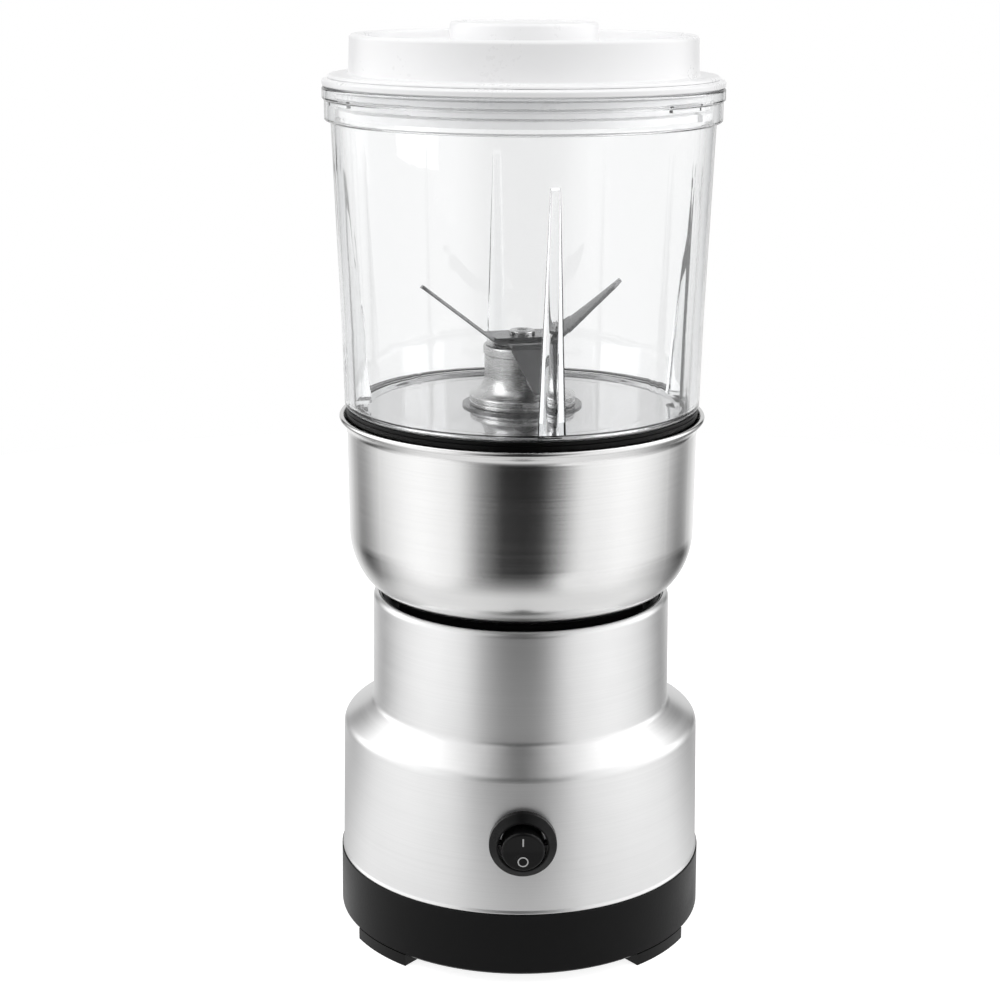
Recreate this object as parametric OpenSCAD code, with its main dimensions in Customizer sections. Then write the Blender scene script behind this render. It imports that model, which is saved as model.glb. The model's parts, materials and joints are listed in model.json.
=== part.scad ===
// Electric spice grinder: a motor base with a rocker switch, a lift-off steel bowl with the
// blades, a clear cup and a twist-lock lid. Millimetres, +Z up, the switch faces -Y.
// The origin is the centre of the circle that the feet stand on.

/* [Base] */
// How far the black base stands out from the body, at each side
base_step = 0.72; // [0.4:0.02:3]
// How much smaller the base is at its top, in diameter
base_draft = 0.3; // [0:0.1:2]
// Height of the rubber feet
foot_h = 3.2; // [2:0.1:8]
// Height of the black base above its feet
base_h = 17.1; // [14:0.1:26]
// Wall of the base
base_wall = 2.4; // [1.8:0.1:3.5]
// Floor of the base
base_floor = 2.6; // [2:0.1:4]
// Angle that each foot covers
foot_span = 24; // [12:1:50]
// Angle from the front to the middle of a front foot
foot_az = 50.5; // [40:0.5:60]
// Radial depth of a foot
foot_w = 7; // [4:0.5:10]

/* [Body shell] */
// Outer diameter of the steel body at the base
body_d = 99.16; // [94:0.01:120]
// How much smaller the body is below its shoulder, in diameter
body_draft = 1.4; // [0:0.1:4]
// Height from the base to the shoulder's outer corner
body_h = 37.5; // [30:0.1:50]
// Rise of the shoulder from its outer to its inner corner
shoulder_h = 5.8; // [2:0.1:10]
// Rounding of the shoulder's outer corner
shoulder_r = 2.6; // [2:0.1:6]
// Rounding of the crease where the shoulder meets the neck
crease_r = 1.8; // [1:0.1:7]
// Outer diameter of the neck above the crease
neck_d = 81.5; // [78:0.1:90]
// How much smaller the neck is at its rim, in diameter
neck_draft = 0.8; // [0:0.1:3]
// Height of the neck above the crease
neck_h = 30.6; // [30:0.1:50]
// Thickness of the steel body
shell_t = 0.8; // [0.5:0.1:1.2]
// Width of the folded hem round the neck's opening
hem_w = 2; // [1.4:0.1:2.6]
// Height of the folded hem
hem_h = 4; // [3:0.1:6]
// Rounding of the hem's outer edge
hem_r = 1.5; // [0.5:0.1:1.8]

/* [Switch] */
// Height of the switch above the table
switch_z = 40.3; // [35:0.1:44]
// Width of the bezel's ring round the rocker
bezel_w = 2.35; // [1.6:0.05:4]
// How far the bezel stands out of the body
bezel_h = 3; // [2.4:0.1:4]
// How far the bezel's face slopes back from its hole to its edge
bezel_slope_h = 1.4; // [0.5:0.1:1.8]
// Wall of the barrel that passes through the body
barrel_wall = 0.85; // [0.7:0.05:1.2]
// Diameter of the rocker
rocker_d = 11.3; // [9:0.1:11.4]
// Gap round the rocker in the bezel
rocker_gap = 0.8; // [0.7:0.05:1]
// Distance from the rocker's pivot to the ends of its face
rocker_h = 5.3; // [4.8:0.1:6.5]
// Angle of each half of the rocker's face to its middle plane
rocker_fold = 5; // [0:0.5:8]
// Tilt of the rocker to each side of the middle
rocker_tilt = 8.5; // [4:0.5:9]
// Diameter of the rocker's pivot pins
pivot_d = 1.8; // [1.2:0.1:2.4]
// Depth of the pivot below the bezel's rim
pivot_depth = 3.7; // [3.4:0.1:5]
// Distance of the on and off marks from the rocker's middle
mark_off = 2.9; // [2:0.1:3]
// Length of the on mark
mark_l = 2.6; // [1.5:0.1:2.8]
// Outer diameter of the off mark
mark_d = 3; // [2:0.1:3.2]
// Width of the marks' strokes
mark_w = 0.42; // [0.3:0.02:0.8]

/* [Seat for the bowl] */
// Depth of the seat's lip below the neck's rim
seat_lip_drop = 0.8; // [0.5:0.1:2]
// Width of the seat's lip inside the hem
seat_lip_w = 1.6; // [1.2:0.1:2]
// Depth of the groove between the lip and the seat ring
seat_groove = 5.7; // [4:0.1:6]
// Inner diameter of the well that takes the bowl's spigot
well_d = 59.2; // [57:0.1:62]
// Width of the ring that carries the bowl
seat_ring_w = 3.9; // [3:0.1:4.5]
// Depth of the well below the neck's rim
well_depth = 12.2; // [11.5:0.1:16]
// Thickness of the well's floor
well_floor = 2.5; // [2.2:0.1:4]
// Number of keys that stop the bowl from turning
keys = 3; // [2:1:6]
// Width of a key
key_w = 6; // [4:0.5:8]
// How far a key stands out
key_h = 1.6; // [1:0.1:1.8]

/* [Motor] */
// Diameter of the motor shaft
shaft_d = 5; // [4:0.5:6]
// Diameter of the armature
armature_d = 30; // [24:0.5:32]
// Air gap round the armature
air_gap = 0.5; // [0.3:0.05:0.8]
// Height of the steel laminations
stack_h = 24; // [18:0.5:26]
// Height of the stack's middle above the table
stack_z = 48; // [46:0.5:52]
// Width of the field core
core_w = 54; // [50:0.5:56]
// Depth of the field core
core_d = 46; // [42:0.5:48]
// Number of armature slots
slots = 10; // [8:1:14]
// Height of the windings beyond each end of the laminations
winding_h = 6.8; // [4:0.1:7]
// Diameter of the commutator
commutator_d = 15; // [12:0.5:18]
// Height of the commutator
commutator_h = 9; // [7:0.1:9.5]
// Outer diameter of the shaft bushes
bush_d = 10; // [8.5:0.1:12]
// Diameter of the cooling fan
fan_d = 44; // [36:0.5:46]
// Number of fan blades
fan_blades = 11; // [7:1:15]
// Diameter of the long motor bolts
bolt_d = 4; // [3:0.5:4]
// Distance of a motor bolt from the core's sides
bolt_inset = 4.5; // [4:0.1:5]

/* [Couplings] */
// Outer diameter of the two dog couplings
dog_d = 22; // [18:0.5:24]
// Number of dogs on each coupling
dogs = 6; // [4:1:6]
// Height of the dogs
dog_h = 4.6; // [3:0.1:5]
// Angle that one dog covers
dog_span = 26; // [16:1:28]
// Thickness of the coupling's disc
dog_disc = 3; // [2:0.1:3.2]

/* [Bowl] */
// Outer diameter of the steel bowl's wall
bowl_d = 93.2; // [91:0.1:112]
// How much wider the wall is under the lip, in diameter
bowl_draft = 0.5; // [0:0.1:2]
// Height of the bowl from its flat bottom to the top of its lip
bowl_h = 49.2; // [44:0.1:60]
// Gap between the bowl's bottom and its seat
bowl_gap = 0.3; // [0.2:0.05:0.5]
// Width of the bowl's rounded lower corner
corner_w = 14; // [8:0.1:15]
// Height of the bowl's rounded lower corner
corner_h = 17.5; // [10:0.1:22]
// Thickness of the bowl's steel
bowl_t = 0.7; // [0.5:0.1:1]
// How far the rolled lip stands out of the bowl's wall
lip_w = 2.02; // [1.4:0.02:5]
// Diameter of the rolled bead at the lip's edge
bead_d = 1.5; // [1.2:0.1:2]
// Wall of the black liner inside the bowl
liner_wall = 2.2; // [1.6:0.1:3]
// Clearance of the liner's spigot in the well
spigot_gap = 0.4; // [0.3:0.05:0.8]

/* [Blade stand] */
// Distance from the floor plate's edge to the edge of its seat
plate_inset = 0.2; // [0:0.1:2]
// Depth of the floor plate's top below the cup's bottom edge
plate_drop = 0.5; // [0.4:0.1:1]
// Height of the raised rim round the floor plate
plate_rim_h = 0.8; // [0.4:0.1:1.2]
// Diameter of the dark washer under the stand
washer_d = 32; // [29:0.5:36]
// Diameter of the stand's foot
stand_foot_d = 28.2; // [24:0.1:30]
// Diameter of the stand's column
stand_d = 20.2; // [18:0.1:22]
// Diameter of the bright collar round the stand's top
collar_d = 20.8; // [19:0.1:23]
// Height of the stand above its washer
stand_h = 16.2; // [14:0.1:22]
// Diameter of the threaded stem below the floor plate
stem_d = 16; // [14:0.5:18]
// Diameter of the blade shaft
blade_shaft_d = 6; // [5:0.5:7]
// Outer diameter of the blade shaft's bushes
blade_bush_d = 12; // [10.5:0.1:12.5]

/* [Blades] */
// Turning radius of the two raised blade tips
up_tip_r = 27.3; // [20:0.1:32]
// Rise of the raised tips above the blade's hub
up_tip_h = 14; // [8:0.1:20]
// Turning radius of the two lowered blade tips
down_tip_r = 17.2; // [16.5:0.1:26]
// Drop of the lowered tips below the blade's hub
down_tip_h = 11.4; // [4:0.1:11.4]
// Width of a blade at its hub
blade_w = 11.6; // [8:0.1:14]
// Width of a blade at its tip
blade_tip_w = 3; // [1.5:0.1:5]
// Thickness of the blade steel
blade_t = 0.9; // [0.6:0.1:1.2]
// Distance from the axis to the raised blade's bends
up_bend_r = 9.4; // [8:0.1:12]
// Distance from the axis to the lowered blade's bends
down_bend_r = 10.6; // [10.6:0.1:12]
// Direction of the raised blade, from the front
blade_az = -76; // [-90:1:90]

/* [Cup] */
// How far the cup's bottom edge stands out from the bowl's wall
cup_step = 0.75; // [0.4:0.05:3]
// How much wider the cup is under its band than at its bottom, in diameter
cup_flare = 4.9; // [2:0.1:12]
// Height of the cup from its bottom edge to its rim
cup_h = 82.9; // [70:0.1:110]
// Thickness of the cup's wall
cup_wall = 2.4; // [1.8:0.1:2.8]
// How far the thick band stands out of the cup's wall
band_step = 1.6; // [0.8:0.1:3]
// Wall of the band round the mouth
band_wall = 2.5; // [2.2:0.1:3.2]
// Height of the band and the rim together
band_h = 8.6; // [8:0.1:14]
// How far the rim stands out of the band
rim_step = 0.55; // [0.3:0.05:1.5]
// Height of the rim
rim_h = 2.9; // [2:0.1:4]
// Wall of the cup's spigot inside the bowl
cup_spigot_wall = 1.7; // [1.5:0.1:2.2]
// Length of the cup's spigot
cup_spigot_h = 12.3; // [11:0.1:13]
// Number of ribs inside the cup
ribs = 4; // [2:1:6]
// Direction of the first rib, from the front
rib_az = 8.3; // [-20:0.1:40]
// How far the ribs stand into the cup at the bottom
rib_in = 4.95; // [2:0.05:8]
// Width of a rib at the bottom
rib_low_w = 6.6; // [3:0.1:8]
// Width of a rib at the top
rib_high_w = 2.2; // [1:0.1:3]
// Height of the ribs above the cup's bottom edge
rib_h = 62; // [40:0.5:64]

/* [Lid] */
// Diameter of the knob
knob_d = 38.2; // [30:0.1:50]
// Height of the knob above the ring round it
knob_rise = 3.1; // [2:0.1:12]
// Distance from the flange's step to the lid's ring
ring_inset = 5.75; // [4.5:0.05:12]
// Height of the ring above the flange
ring_h = 10; // [6:0.1:16]
// Thickness of the ring's upper edge
ring_w = 2.2; // [1.8:0.1:3]
// Depth of the moat between the ring and the knob
moat_h = 2.9; // [2:0.1:5]
// Wall of the lid
lid_wall = 2; // [1.6:0.1:2.6]
// Distance from the flange's edge to its upper step
step_inset = 1.4; // [0.8:0.1:1.8]
// Height of the flange
flange_h = 2.8; // [2.6:0.1:4]
// Wall of the skirt
skirt_wall = 2.2; // [2:0.1:2.6]
// Depth of the skirt below the flange
skirt_h = 7.5; // [7:0.1:9]
// Number of grip grooves round the skirt
skirt_grooves = 3; // [0:1:3]
// Distance from one groove to the next
groove_step = 2.2; // [1.8:0.1:2.3]
// Depth of a groove
groove_in = 0.25; // [0.1:0.05:0.4]

/* [Twist locks] */
// Number of lugs on each twist lock
lugs = 3; // [2:1:4]
// Angle that one lug covers
lug_span = 14; // [8:1:20]
// Angle that the lid or the cup turns to lock
lock_turn = 25; // [15:1:40]
// How far a lug stands out
lug_h = 1; // [0.6:0.1:1.1]
// Thickness of a lug
lug_t = 1.6; // [1.2:0.1:2]
// Direction of the first lug, from the front
lug_az = -68; // [-80:1:-20]

/* [Fasteners and inlet] */
// Diameter of the small screws
screw_d = 3; // [2.5:0.1:3.5]
// Diameter of the small screws' heads
screw_head_d = 5.6; // [5:0.1:6.4]
// Height of the small screws' heads
screw_head_h = 1.7; // [1.4:0.1:1.8]
// Bore of the rubber inlet for the cord
inlet_d = 6; // [4.6:0.1:6.2]
// Outer diameter of the inlet's neck in the wall
inlet_neck_d = 8.6; // [8:0.1:9]
// Diameter of the inlet's flanges
inlet_flange_d = 10.8; // [10:0.1:11]
// Thickness of the inlet's flanges
inlet_flange_h = 1.6; // [1.2:0.1:3]
// Diameter of the insulated wires
wire_d = 2; // [1.2:0.1:2.4]

/* [Fits] */
// Radial clearance of a shaft or pin that runs in its bore
run_gap = 0.05; // [0.02:0.01:0.1]
// Clearance between fixed pieces
fix_gap = 0.05; // [0.02:0.01:0.1]
// Clearance between pieces that lift or turn apart
part_gap = 0.3; // [0.2:0.05:0.4]

/* [Hidden] */
$fn = 96;
hull_fn = 32;
arc_steps = 8;
eps = 0.01;
over = 1;
bevel = 0.4;

body_r = body_d / 2;
base_r = body_r + base_step;
base_top = foot_h + base_h;
floor_top = foot_h + base_floor;
shell_z = base_top;
shoulder_z = base_top + body_h;
neck_r = neck_d / 2;
crease_z = shoulder_z + shoulder_h;
neck_top = crease_z + neck_h;
rim_out_r = neck_r - neck_draft / 2;
hem_in_r = rim_out_r - hem_w;

well_r = well_d / 2;
seat_z = neck_top;
well_z = neck_top - well_depth;
cradle_z = well_z - well_floor;
lip_r = hem_in_r - 0.15;
groove_z = neck_top - seat_groove;
seat_ring_r = well_r + seat_ring_w;
cradle_wall = 2.2;
pad_h = 2;

post_r = 4;
bolt_x = core_w / 2 - bolt_inset;
bolt_y = core_d / 2 - bolt_inset;
core_low = stack_z - stack_h / 2;
core_high = stack_z + stack_h / 2;
shaft_r = shaft_d / 2;
bush_r = bush_d / 2;
bracket_t = 2;
top_plate_z = cradle_z - pad_h - bracket_t;
bush_h = 6;
top_bush_z = cradle_z - 0.2 - bush_h;
commutator_z = core_low - winding_h - 0.5 - commutator_h;
low_plate_z = commutator_z - 6.5;
low_bush_z = low_plate_z - 2.5;
low_bush_h = 7;
fan_z = core_high + winding_h + 1.2;
fan_disc = 1.2;
fan_blade_h = top_bush_z - 1.2 - fan_z - fan_disc;
brush_z = commutator_z + commutator_h / 2;
brush_w = 5;
brush_h = 4.4;
brush_l = 9;
holder_wall = 1;
holder_in = commutator_d / 2 + 2.5;
holder_out = 24;
column_d = 8;
column_r = rim_out_r - shell_t - column_d / 2 - 1.05;
column_low = base_top + 9.7;
column_az = [90, 150, 210, 270];

dog_r = dog_d / 2;
dog_in_r = dog_r - 3.8;
drive_z = well_z + 1.3;
dog_top = drive_z + dog_disc + dog_h;
driven_z = dog_top + 0.4;
hub_r = 5.5;
splash_r = dog_r + 1.6;

bowl_r = bowl_d / 2;
bowl_z = seat_z + bowl_gap;
bowl_top = bowl_z + bowl_h;
bead_r = bead_d / 2;
lip_mid_r = bowl_r + bowl_draft / 2 + lip_w - bead_r;
corner_z = bowl_z + corner_h;
spigot_r = well_r - spigot_gap;
spigot_z = bowl_z - 10;
liner_z = bowl_z + bowl_t + 0.2;
liner_gap = 0.2;

lug_rise = 3;
seat_flange = 2;
cup_z = bowl_top + 2.6;
liner_top = cup_z - cup_spigot_h - 0.7 - seat_flange;
cup_low_r = bowl_r + cup_step;
cup_high_r = cup_low_r + cup_flare / 2;
band_r = cup_high_r + band_step;
rim_r = band_r + rim_step;
cup_top = cup_z + cup_h;
band_low = cup_top - band_h;
cup_spigot_r = bowl_r - bowl_t - part_gap;
cup_bore_r = cup_spigot_r - cup_spigot_wall;
cup_spigot_z = cup_z - cup_spigot_h;
mouth_r = band_r - band_wall;
mouth_z = band_low;
rib_low_z = cup_z + 0.8;
rib_low_r = cup_low_r - cup_wall - rib_in;
rib_high_z = cup_z + rib_h;
knee_z = cup_z + cup_h * 0.27;
knee_r = cup_low_r + (cup_high_r - cup_low_r) * 0.2;
cup_slope = (cup_high_r - cup_low_r) / (band_low - cup_z);

plug_r = cup_bore_r - 0.5;
seat_top = cup_z - plate_drop - plate_rim_h;
seat_deck = 3.2;
plate_t = 0.6;
plate_z = seat_top + plate_t;
washer_t = 0.5;
stand_z = plate_z + washer_t;
stand_top = stand_z + stand_h;
stem_r = stem_d / 2;
stem_z = seat_top - seat_deck - 16;
nut_h = 5;
nut_d = 25;
blade_shaft_r = blade_shaft_d / 2;
blade_bush_r = blade_bush_d / 2;
seal_h = 2.4;
bush2_h = 10;
lower_bush_z = liner_z + 1.2;
lower_bush_h = 10.4;
clip_t = 0.6;
spacer_z = stand_top + part_gap;
spacer_t = 0.4;
low_blade_z = spacer_z + spacer_t;
up_blade_z = low_blade_z + blade_t;
cap_z = up_blade_z + blade_t;
cap_h = 1.1;
seat_screw_r = 30;
seat_screw_az = [60, 180, 300];

lid_z = cup_top + part_gap;
flange_top = lid_z + flange_h;
flange_r = rim_r - 0.05;
step_r = flange_r - step_inset;
ring_r = step_r - ring_inset;
ring_top = flange_top + ring_h;
knob_r = knob_d / 2;
knob_top = ring_top + knob_rise;
moat_z = ring_top - moat_h;
skirt_r = mouth_r - part_gap;
skirt_z = lid_z - skirt_h;
lid_groove = 1.4;
seal_ring_h = 1.2;
lid_lug_z = skirt_z + lug_rise;
cup_lug_z = cup_spigot_z + lug_rise;

switch_y = -body_r + body_draft / 2 * (switch_z - base_top) / body_h;
bezel_y = switch_y - bezel_h;
pivot_y = bezel_y + pivot_depth;
rocker_r = rocker_d / 2;
bezel_hole_r = rocker_r + rocker_gap;
barrel_r = bezel_hole_r + barrel_wall;
bezel_r = bezel_hole_r + bezel_w;
cavity_l = 10.2;
terminal_end = -core_d / 2 - 2.6;
terminal_start = terminal_end - 9.6;
barrel_back = terminal_end - 8.6;
mark_t = 0.25;
inlet_z = floor_top + inlet_flange_d / 2 + 0.55;
inlet_face = base_r - 1;

// ---- outlines ---------------------------------------------------------------------------

function unit(v) = v / norm(v);
function left(v) = [-v[1], v[0]];

// Points of an arc round centre c
function arc(c, r, a0, a1, n = arc_steps) =
    [for (i = [0:n]) c + r * [cos(a0 + (a1 - a0) * i / n), sin(a0 + (a1 - a0) * i / n)]];

// Points of a quarter of an ellipse round centre c, from angle a0 to a1
function ellipse(c, rx, ry, a0, a1, n = 2 * arc_steps) =
    [for (i = [0:n]) c + [rx * cos(a0 + (a1 - a0) * i / n), ry * sin(a0 + (a1 - a0) * i / n)]];

// Points of the fillet of radius r at corner b between a and c
function fillet(a, b, c, r) =
    let (u = unit(a - b), v = unit(c - b), m = unit(u + v), half = acos(u * v) / 2,
         centre = b + m * r / sin(half), turn = cross(b - a, c - b) > 0 ? 1 : -1,
         start = -turn * left(unit(b - a)), a0 = atan2(start[1], start[0]))
    arc(centre, r, a0, a0 + turn * (180 - 2 * half));

// A path of [r, z, fillet] corners, with its corners rounded
function rounded(path) = [
    for (i = [0:len(path) - 1])
        let (p = path[i])
        each (i == 0 || i == len(path) - 1 || p[2] < eps)
            ? [[p[0], p[1]]]
            : fillet([path[i - 1][0], path[i - 1][1]], [p[0], p[1]],
                     [path[i + 1][0], path[i + 1][1]], p[2])
];

// The same path moved t to its left, with its fillets fitted to the new line
function inset(path, t) = [
    for (i = [0:len(path) - 1])
        let (p = [path[i][0], path[i][1]],
             before = i == 0 ? undef : unit(p - [path[i - 1][0], path[i - 1][1]]),
             after = i == len(path) - 1 ? undef : unit([path[i + 1][0], path[i + 1][1]] - p),
             n1 = left(is_undef(before) ? after : before),
             n2 = left(is_undef(after) ? before : after),
             q = p + t * (n1 + n2) / (1 + n1 * n2),
             turn = is_undef(before) || is_undef(after) ? 0 : cross(before, after))
        [q[0], q[1], path[i][2] < eps ? 0 : max(path[i][2] - sign(turn) * t, 0)]
];

function reversed(list) = [for (i = [len(list) - 1:-1:0]) list[i]];

module lathe(points) {
    rotate_extrude() polygon(points);
}

// A tube with an outer radius, an inner radius, a low end and a height
module tube(r_out, r_in, z, h) {
    translate([0, 0, z])
    difference() {
        cylinder(r = r_out, h = h);
        translate([0, 0, -over]) cylinder(r = r_in, h = h + 2 * over);
    }
}

// Turns its children from the front to the direction az
module at_az(az) {
    rotate([0, 0, az]) children();
}

// A block of a ring that is centred on the front
module ring_block(r_in, r_out, span, z, h) {
    translate([0, 0, z])
    rotate([0, 0, -90 - span / 2])
    rotate_extrude(angle = span)
    translate([r_in, 0]) square([r_out - r_in, h]);
}

// A flat plate with round corners
module round_plate(w, d, r) {
    square([w - 2 * r, d], center = true);
    square([w, d - 2 * r], center = true);
    for (x = [-1, 1], y = [-1, 1])
        translate([x * (w / 2 - r), y * (d / 2 - r)]) circle(r);
}

// A pan-head screw with its head down and its shank up
module screw(shank_l) {
    cylinder(d = screw_head_d, h = screw_head_h);
    cylinder(d = screw_d, h = screw_head_h + shank_l);
}

module cross_slot(d, depth) {
    slot_w = 0.8;
    for (a = [0, 90])
        rotate([0, 0, a]) translate([-d / 2, -slot_w / 2, -depth]) cube([d, slot_w, 2 * depth]);
}

// Where the motor bolts and the frame screws stand
module bolt_places() {
    for (s = [-1, 1]) translate([s * bolt_x, s * bolt_y, 0]) children();
}

module screw_places() {
    for (s = [-1, 1]) translate([-s * bolt_x, s * bolt_y, 0]) children();
}

module column_places() {
    for (az = column_az) at_az(az) translate([0, -column_r, 0]) children();
}

// The cuts in a wall that let the lugs in from its low edge and along to the locked place
module twist_cuts(r_in, r_out, z_low) {
    play = 2;
    run_z = z_low + lug_rise - part_gap - 0.1;
    run_h = lug_t + 2 * part_gap + 0.2;
    for (i = [0:lugs - 1])
        at_az(lug_az + 360 * i / lugs) {
            ring_block(r_in, r_out, lug_span + 2 * play, z_low - over, run_z + over - z_low + over);
            at_az(lock_turn / 2)
                ring_block(r_in - 0.04, r_out + 0.04, lug_span + 2 * play + lock_turn + 0.4,
                           run_z, run_h);
        }
}

// ---- base -------------------------------------------------------------------------------

foot_places = [foot_az, 180 - foot_az, 180 + foot_az, -foot_az];
peg_r = 2;
peg_h = 1.6;

module foot_pegs(grow) {
    for (az = foot_places)
        at_az(az) translate([0, -(base_r - foot_w / 2), foot_h - eps])
            cylinder(r = peg_r + grow, h = peg_h + grow + eps);
}

module base_cover() {
    top_r = base_r - base_draft / 2;
    guide_r = body_r - shell_t - part_gap / 2;
    guide_t = 1.6;
    guide_top = base_top + 3;
    wall_in = base_r - base_wall;
    vent_r = 20;
    vent_l = 12;
    vent_w = 3;
    vents = 8;
    color("#262626")
    difference() {
        union() {
            lathe([
                [0, foot_h], [base_r - 0.6, foot_h], [base_r, foot_h + 0.6],
                [top_r, base_top - bevel], [top_r - bevel, base_top], [guide_r, base_top],
                [guide_r, guide_top - bevel], [guide_r - bevel, guide_top],
                [guide_r - guide_t, guide_top], [guide_r - guide_t, base_top - 2],
                [wall_in, base_top - 3], [wall_in, floor_top], [0, floor_top]
            ]);
            column_places()
                translate([0, 0, floor_top - eps])
                cylinder(r = screw_head_d / 2 + 2, h = column_low - floor_top + eps);
        }
        column_places() {
            translate([0, 0, foot_h - over])
                cylinder(d = screw_head_d + 0.8, h = over + 6);
            cylinder(d = screw_d + 4 * fix_gap, h = column_low + over);
        }
        foot_pegs(fix_gap);
        for (i = [0:vents - 1])
            at_az(360 * (i + 0.5) / vents) translate([0, -vent_r, foot_h - over]) {
                translate([-vent_l / 2, -vent_w / 2, 0])
                    cube([vent_l, vent_w, base_floor + 2 * over]);
            }
        translate([0, wall_in - over, inlet_z]) rotate([-90, 0, 0])
            cylinder(d = inlet_neck_d + 2 * fix_gap, h = base_wall + 2 * over);
        translate([0, inlet_face, inlet_z]) rotate([-90, 0, 0])
            cylinder(d = inlet_flange_d + 4 * fix_gap, h = base_wall + over);
    }
}

module rubber_feet() {
    color("#1b1b1b") {
        for (az = foot_places)
            at_az(az) ring_block(base_r - foot_w, base_r - 0.3, foot_span, 0, foot_h);
        foot_pegs(0);
    }
}

module base_screws() {
    color("#b9bcc0")
    column_places()
        translate([0, 0, foot_h + 6 - screw_head_h - 0.1])
        difference() {
            screw(column_low - foot_h - 6 + 12);
            cross_slot(screw_head_d * 0.6, 0.8);
        }
}

// Outer line of the steel body, from its lower edge to the top of its neck
body_path = [
    [body_r, shell_z, 0],
    [body_r - body_draft / 2, shoulder_z, shoulder_r],
    [neck_r, crease_z, crease_r],
    [rim_out_r, neck_top - hem_r, 0]
];

module body_shell() {
    moved = inset(body_path, shell_t);
    inner = concat([[moved[0][0], shell_z, 0]], [for (i = [1:len(moved) - 1]) moved[i]]);
    hem_low = neck_top - hem_h;
    color("#c9cbcd")
    difference() {
        lathe(concat(
            rounded(body_path),
            arc([rim_out_r - hem_r, neck_top - hem_r], hem_r, 0, 90),
            [[hem_in_r + bevel, neck_top], [hem_in_r, neck_top - bevel], [hem_in_r, hem_low],
             [rim_out_r - shell_t, hem_low]],
            reversed(rounded(inner))
        ));
        translate([0, switch_y - over, switch_z]) rotate([-90, 0, 0])
            cylinder(r = barrel_r + 0.2, h = body_r / 2);
    }
}

module inner_frame() {
    flange_r = rim_out_r - shell_t - 0.15;
    flange_z = neck_top - hem_h - 0.1;
    shaft_hole = shaft_r + 1.6;
    lip_top = neck_top - seat_lip_drop;
    skirt_low = groove_z - 2.5;
    color("#1f1f20")
    difference() {
        union() {
            lathe([
                [shaft_hole, cradle_z], [well_r + cradle_wall, cradle_z],
                [well_r + cradle_wall, skirt_low], [flange_r, skirt_low], [flange_r, flange_z],
                [lip_r, flange_z], [lip_r, lip_top - bevel], [lip_r - bevel, lip_top],
                [lip_r - seat_lip_w, lip_top], [lip_r - seat_lip_w, groove_z],
                [seat_ring_r, groove_z], [seat_ring_r, seat_z - bevel],
                [seat_ring_r - bevel, seat_z], [well_r + bevel, seat_z], [well_r, seat_z - bevel],
                [well_r, well_z], [splash_r + 1.4, well_z], [splash_r + 1.4, well_z + 2.4],
                [splash_r, well_z + 2.4], [splash_r, well_z], [shaft_hole, well_z]
            ]);
            column_places()
                translate([0, 0, column_low])
                cylinder(d = column_d, h = skirt_low - column_low + 1);
            for (x = [-1, 1], y = [-1, 1])
                translate([x * bolt_x, y * bolt_y, cradle_z - pad_h])
                cylinder(r = post_r, h = pad_h + 1);
        }
        column_places()
            translate([0, 0, column_low - over]) cylinder(d = screw_d + 2 * fix_gap, h = 14);
        screw_places() {
            translate([0, 0, cradle_z - pad_h - over])
                cylinder(d = screw_d + 4 * fix_gap, h = well_depth);
            translate([0, 0, well_z - screw_head_h - 0.1])
                cylinder(d = screw_head_d + 0.6, h = well_depth);
        }
        for (i = [0:keys - 1])
            at_az(360 * (i + 0.5) / keys)
                translate([-key_w / 2 - part_gap, -(spigot_r + key_h + part_gap + 0.1),
                           skirt_low + 0.8])
                cube([key_w + 2 * part_gap, seat_ring_w, well_depth]);
    }
}

// ---- switch, inlet and wires ------------------------------------------------------------

// Turns its children so that their z runs out of the front of the body
module facing_front() {
    rotate([90, 0, 0]) children();
}

module switch_housing() {
    collar_r = barrel_r - 0.05;
    front = -bezel_y;
    back = -barrel_back;
    rim_y = front - bezel_slope_h;
    hole_edge = 0.15;
    color("#1d1d1e")
    translate([0, 0, switch_z])
    difference() {
        union() {
            facing_front() lathe([
                [0, back], [collar_r, back], [collar_r, -switch_y - 2.6],
                [bezel_r, -switch_y - 2.6], [bezel_r, rim_y - bevel], [bezel_r - hole_edge, rim_y],
                [bezel_hole_r + bevel, front], [bezel_hole_r + hole_edge, front],
                [bezel_hole_r, front - hole_edge],
                [bezel_hole_r, front - cavity_l], [0, front - cavity_l]
            ]);
            translate([0, -back + 1.5, 0]) cube([11, 5, 9], center = true);
        }
        // seat on the round body
        difference() {
            translate([0, 0, -switch_z])
                lathe([
                    [0, base_top], [body_r, base_top], [body_r - body_draft / 2, shoulder_z],
                    [0, shoulder_z]
                ]);
            facing_front() cylinder(r = collar_r, h = front);
        }
        translate([-bezel_r, pivot_y, 0]) rotate([0, 90, 0])
            cylinder(d = pivot_d + 2 * run_gap, h = 2 * bezel_r);
        for (x = [-2.6, 2.6])
            translate([x, terminal_start + 10, 0])
            cube([0.8 + 2 * fix_gap, 20, 4.8 + 2 * fix_gap], center = true);
    }
}

module switch_terminals() {
    l = terminal_end - terminal_start - 0.1;
    color("#c9a24b")
    translate([0, 0, switch_z])
    for (x = [-2.6, 2.6])
        difference() {
            translate([x, terminal_end - l / 2, 0]) cube([0.8, l, 4.8], center = true);
            translate([x - over, terminal_end - 1.6, 0]) rotate([0, 90, 0])
                cylinder(d = 1.6, h = 2 * over);
        }
}

// Puts its children at the rocker's pivot, tilted to the off position
module on_rocker() {
    translate([0, pivot_y, switch_z]) rotate([rocker_tilt, 0, 0]) rotate([90, 0, 0]) children();
}

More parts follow.
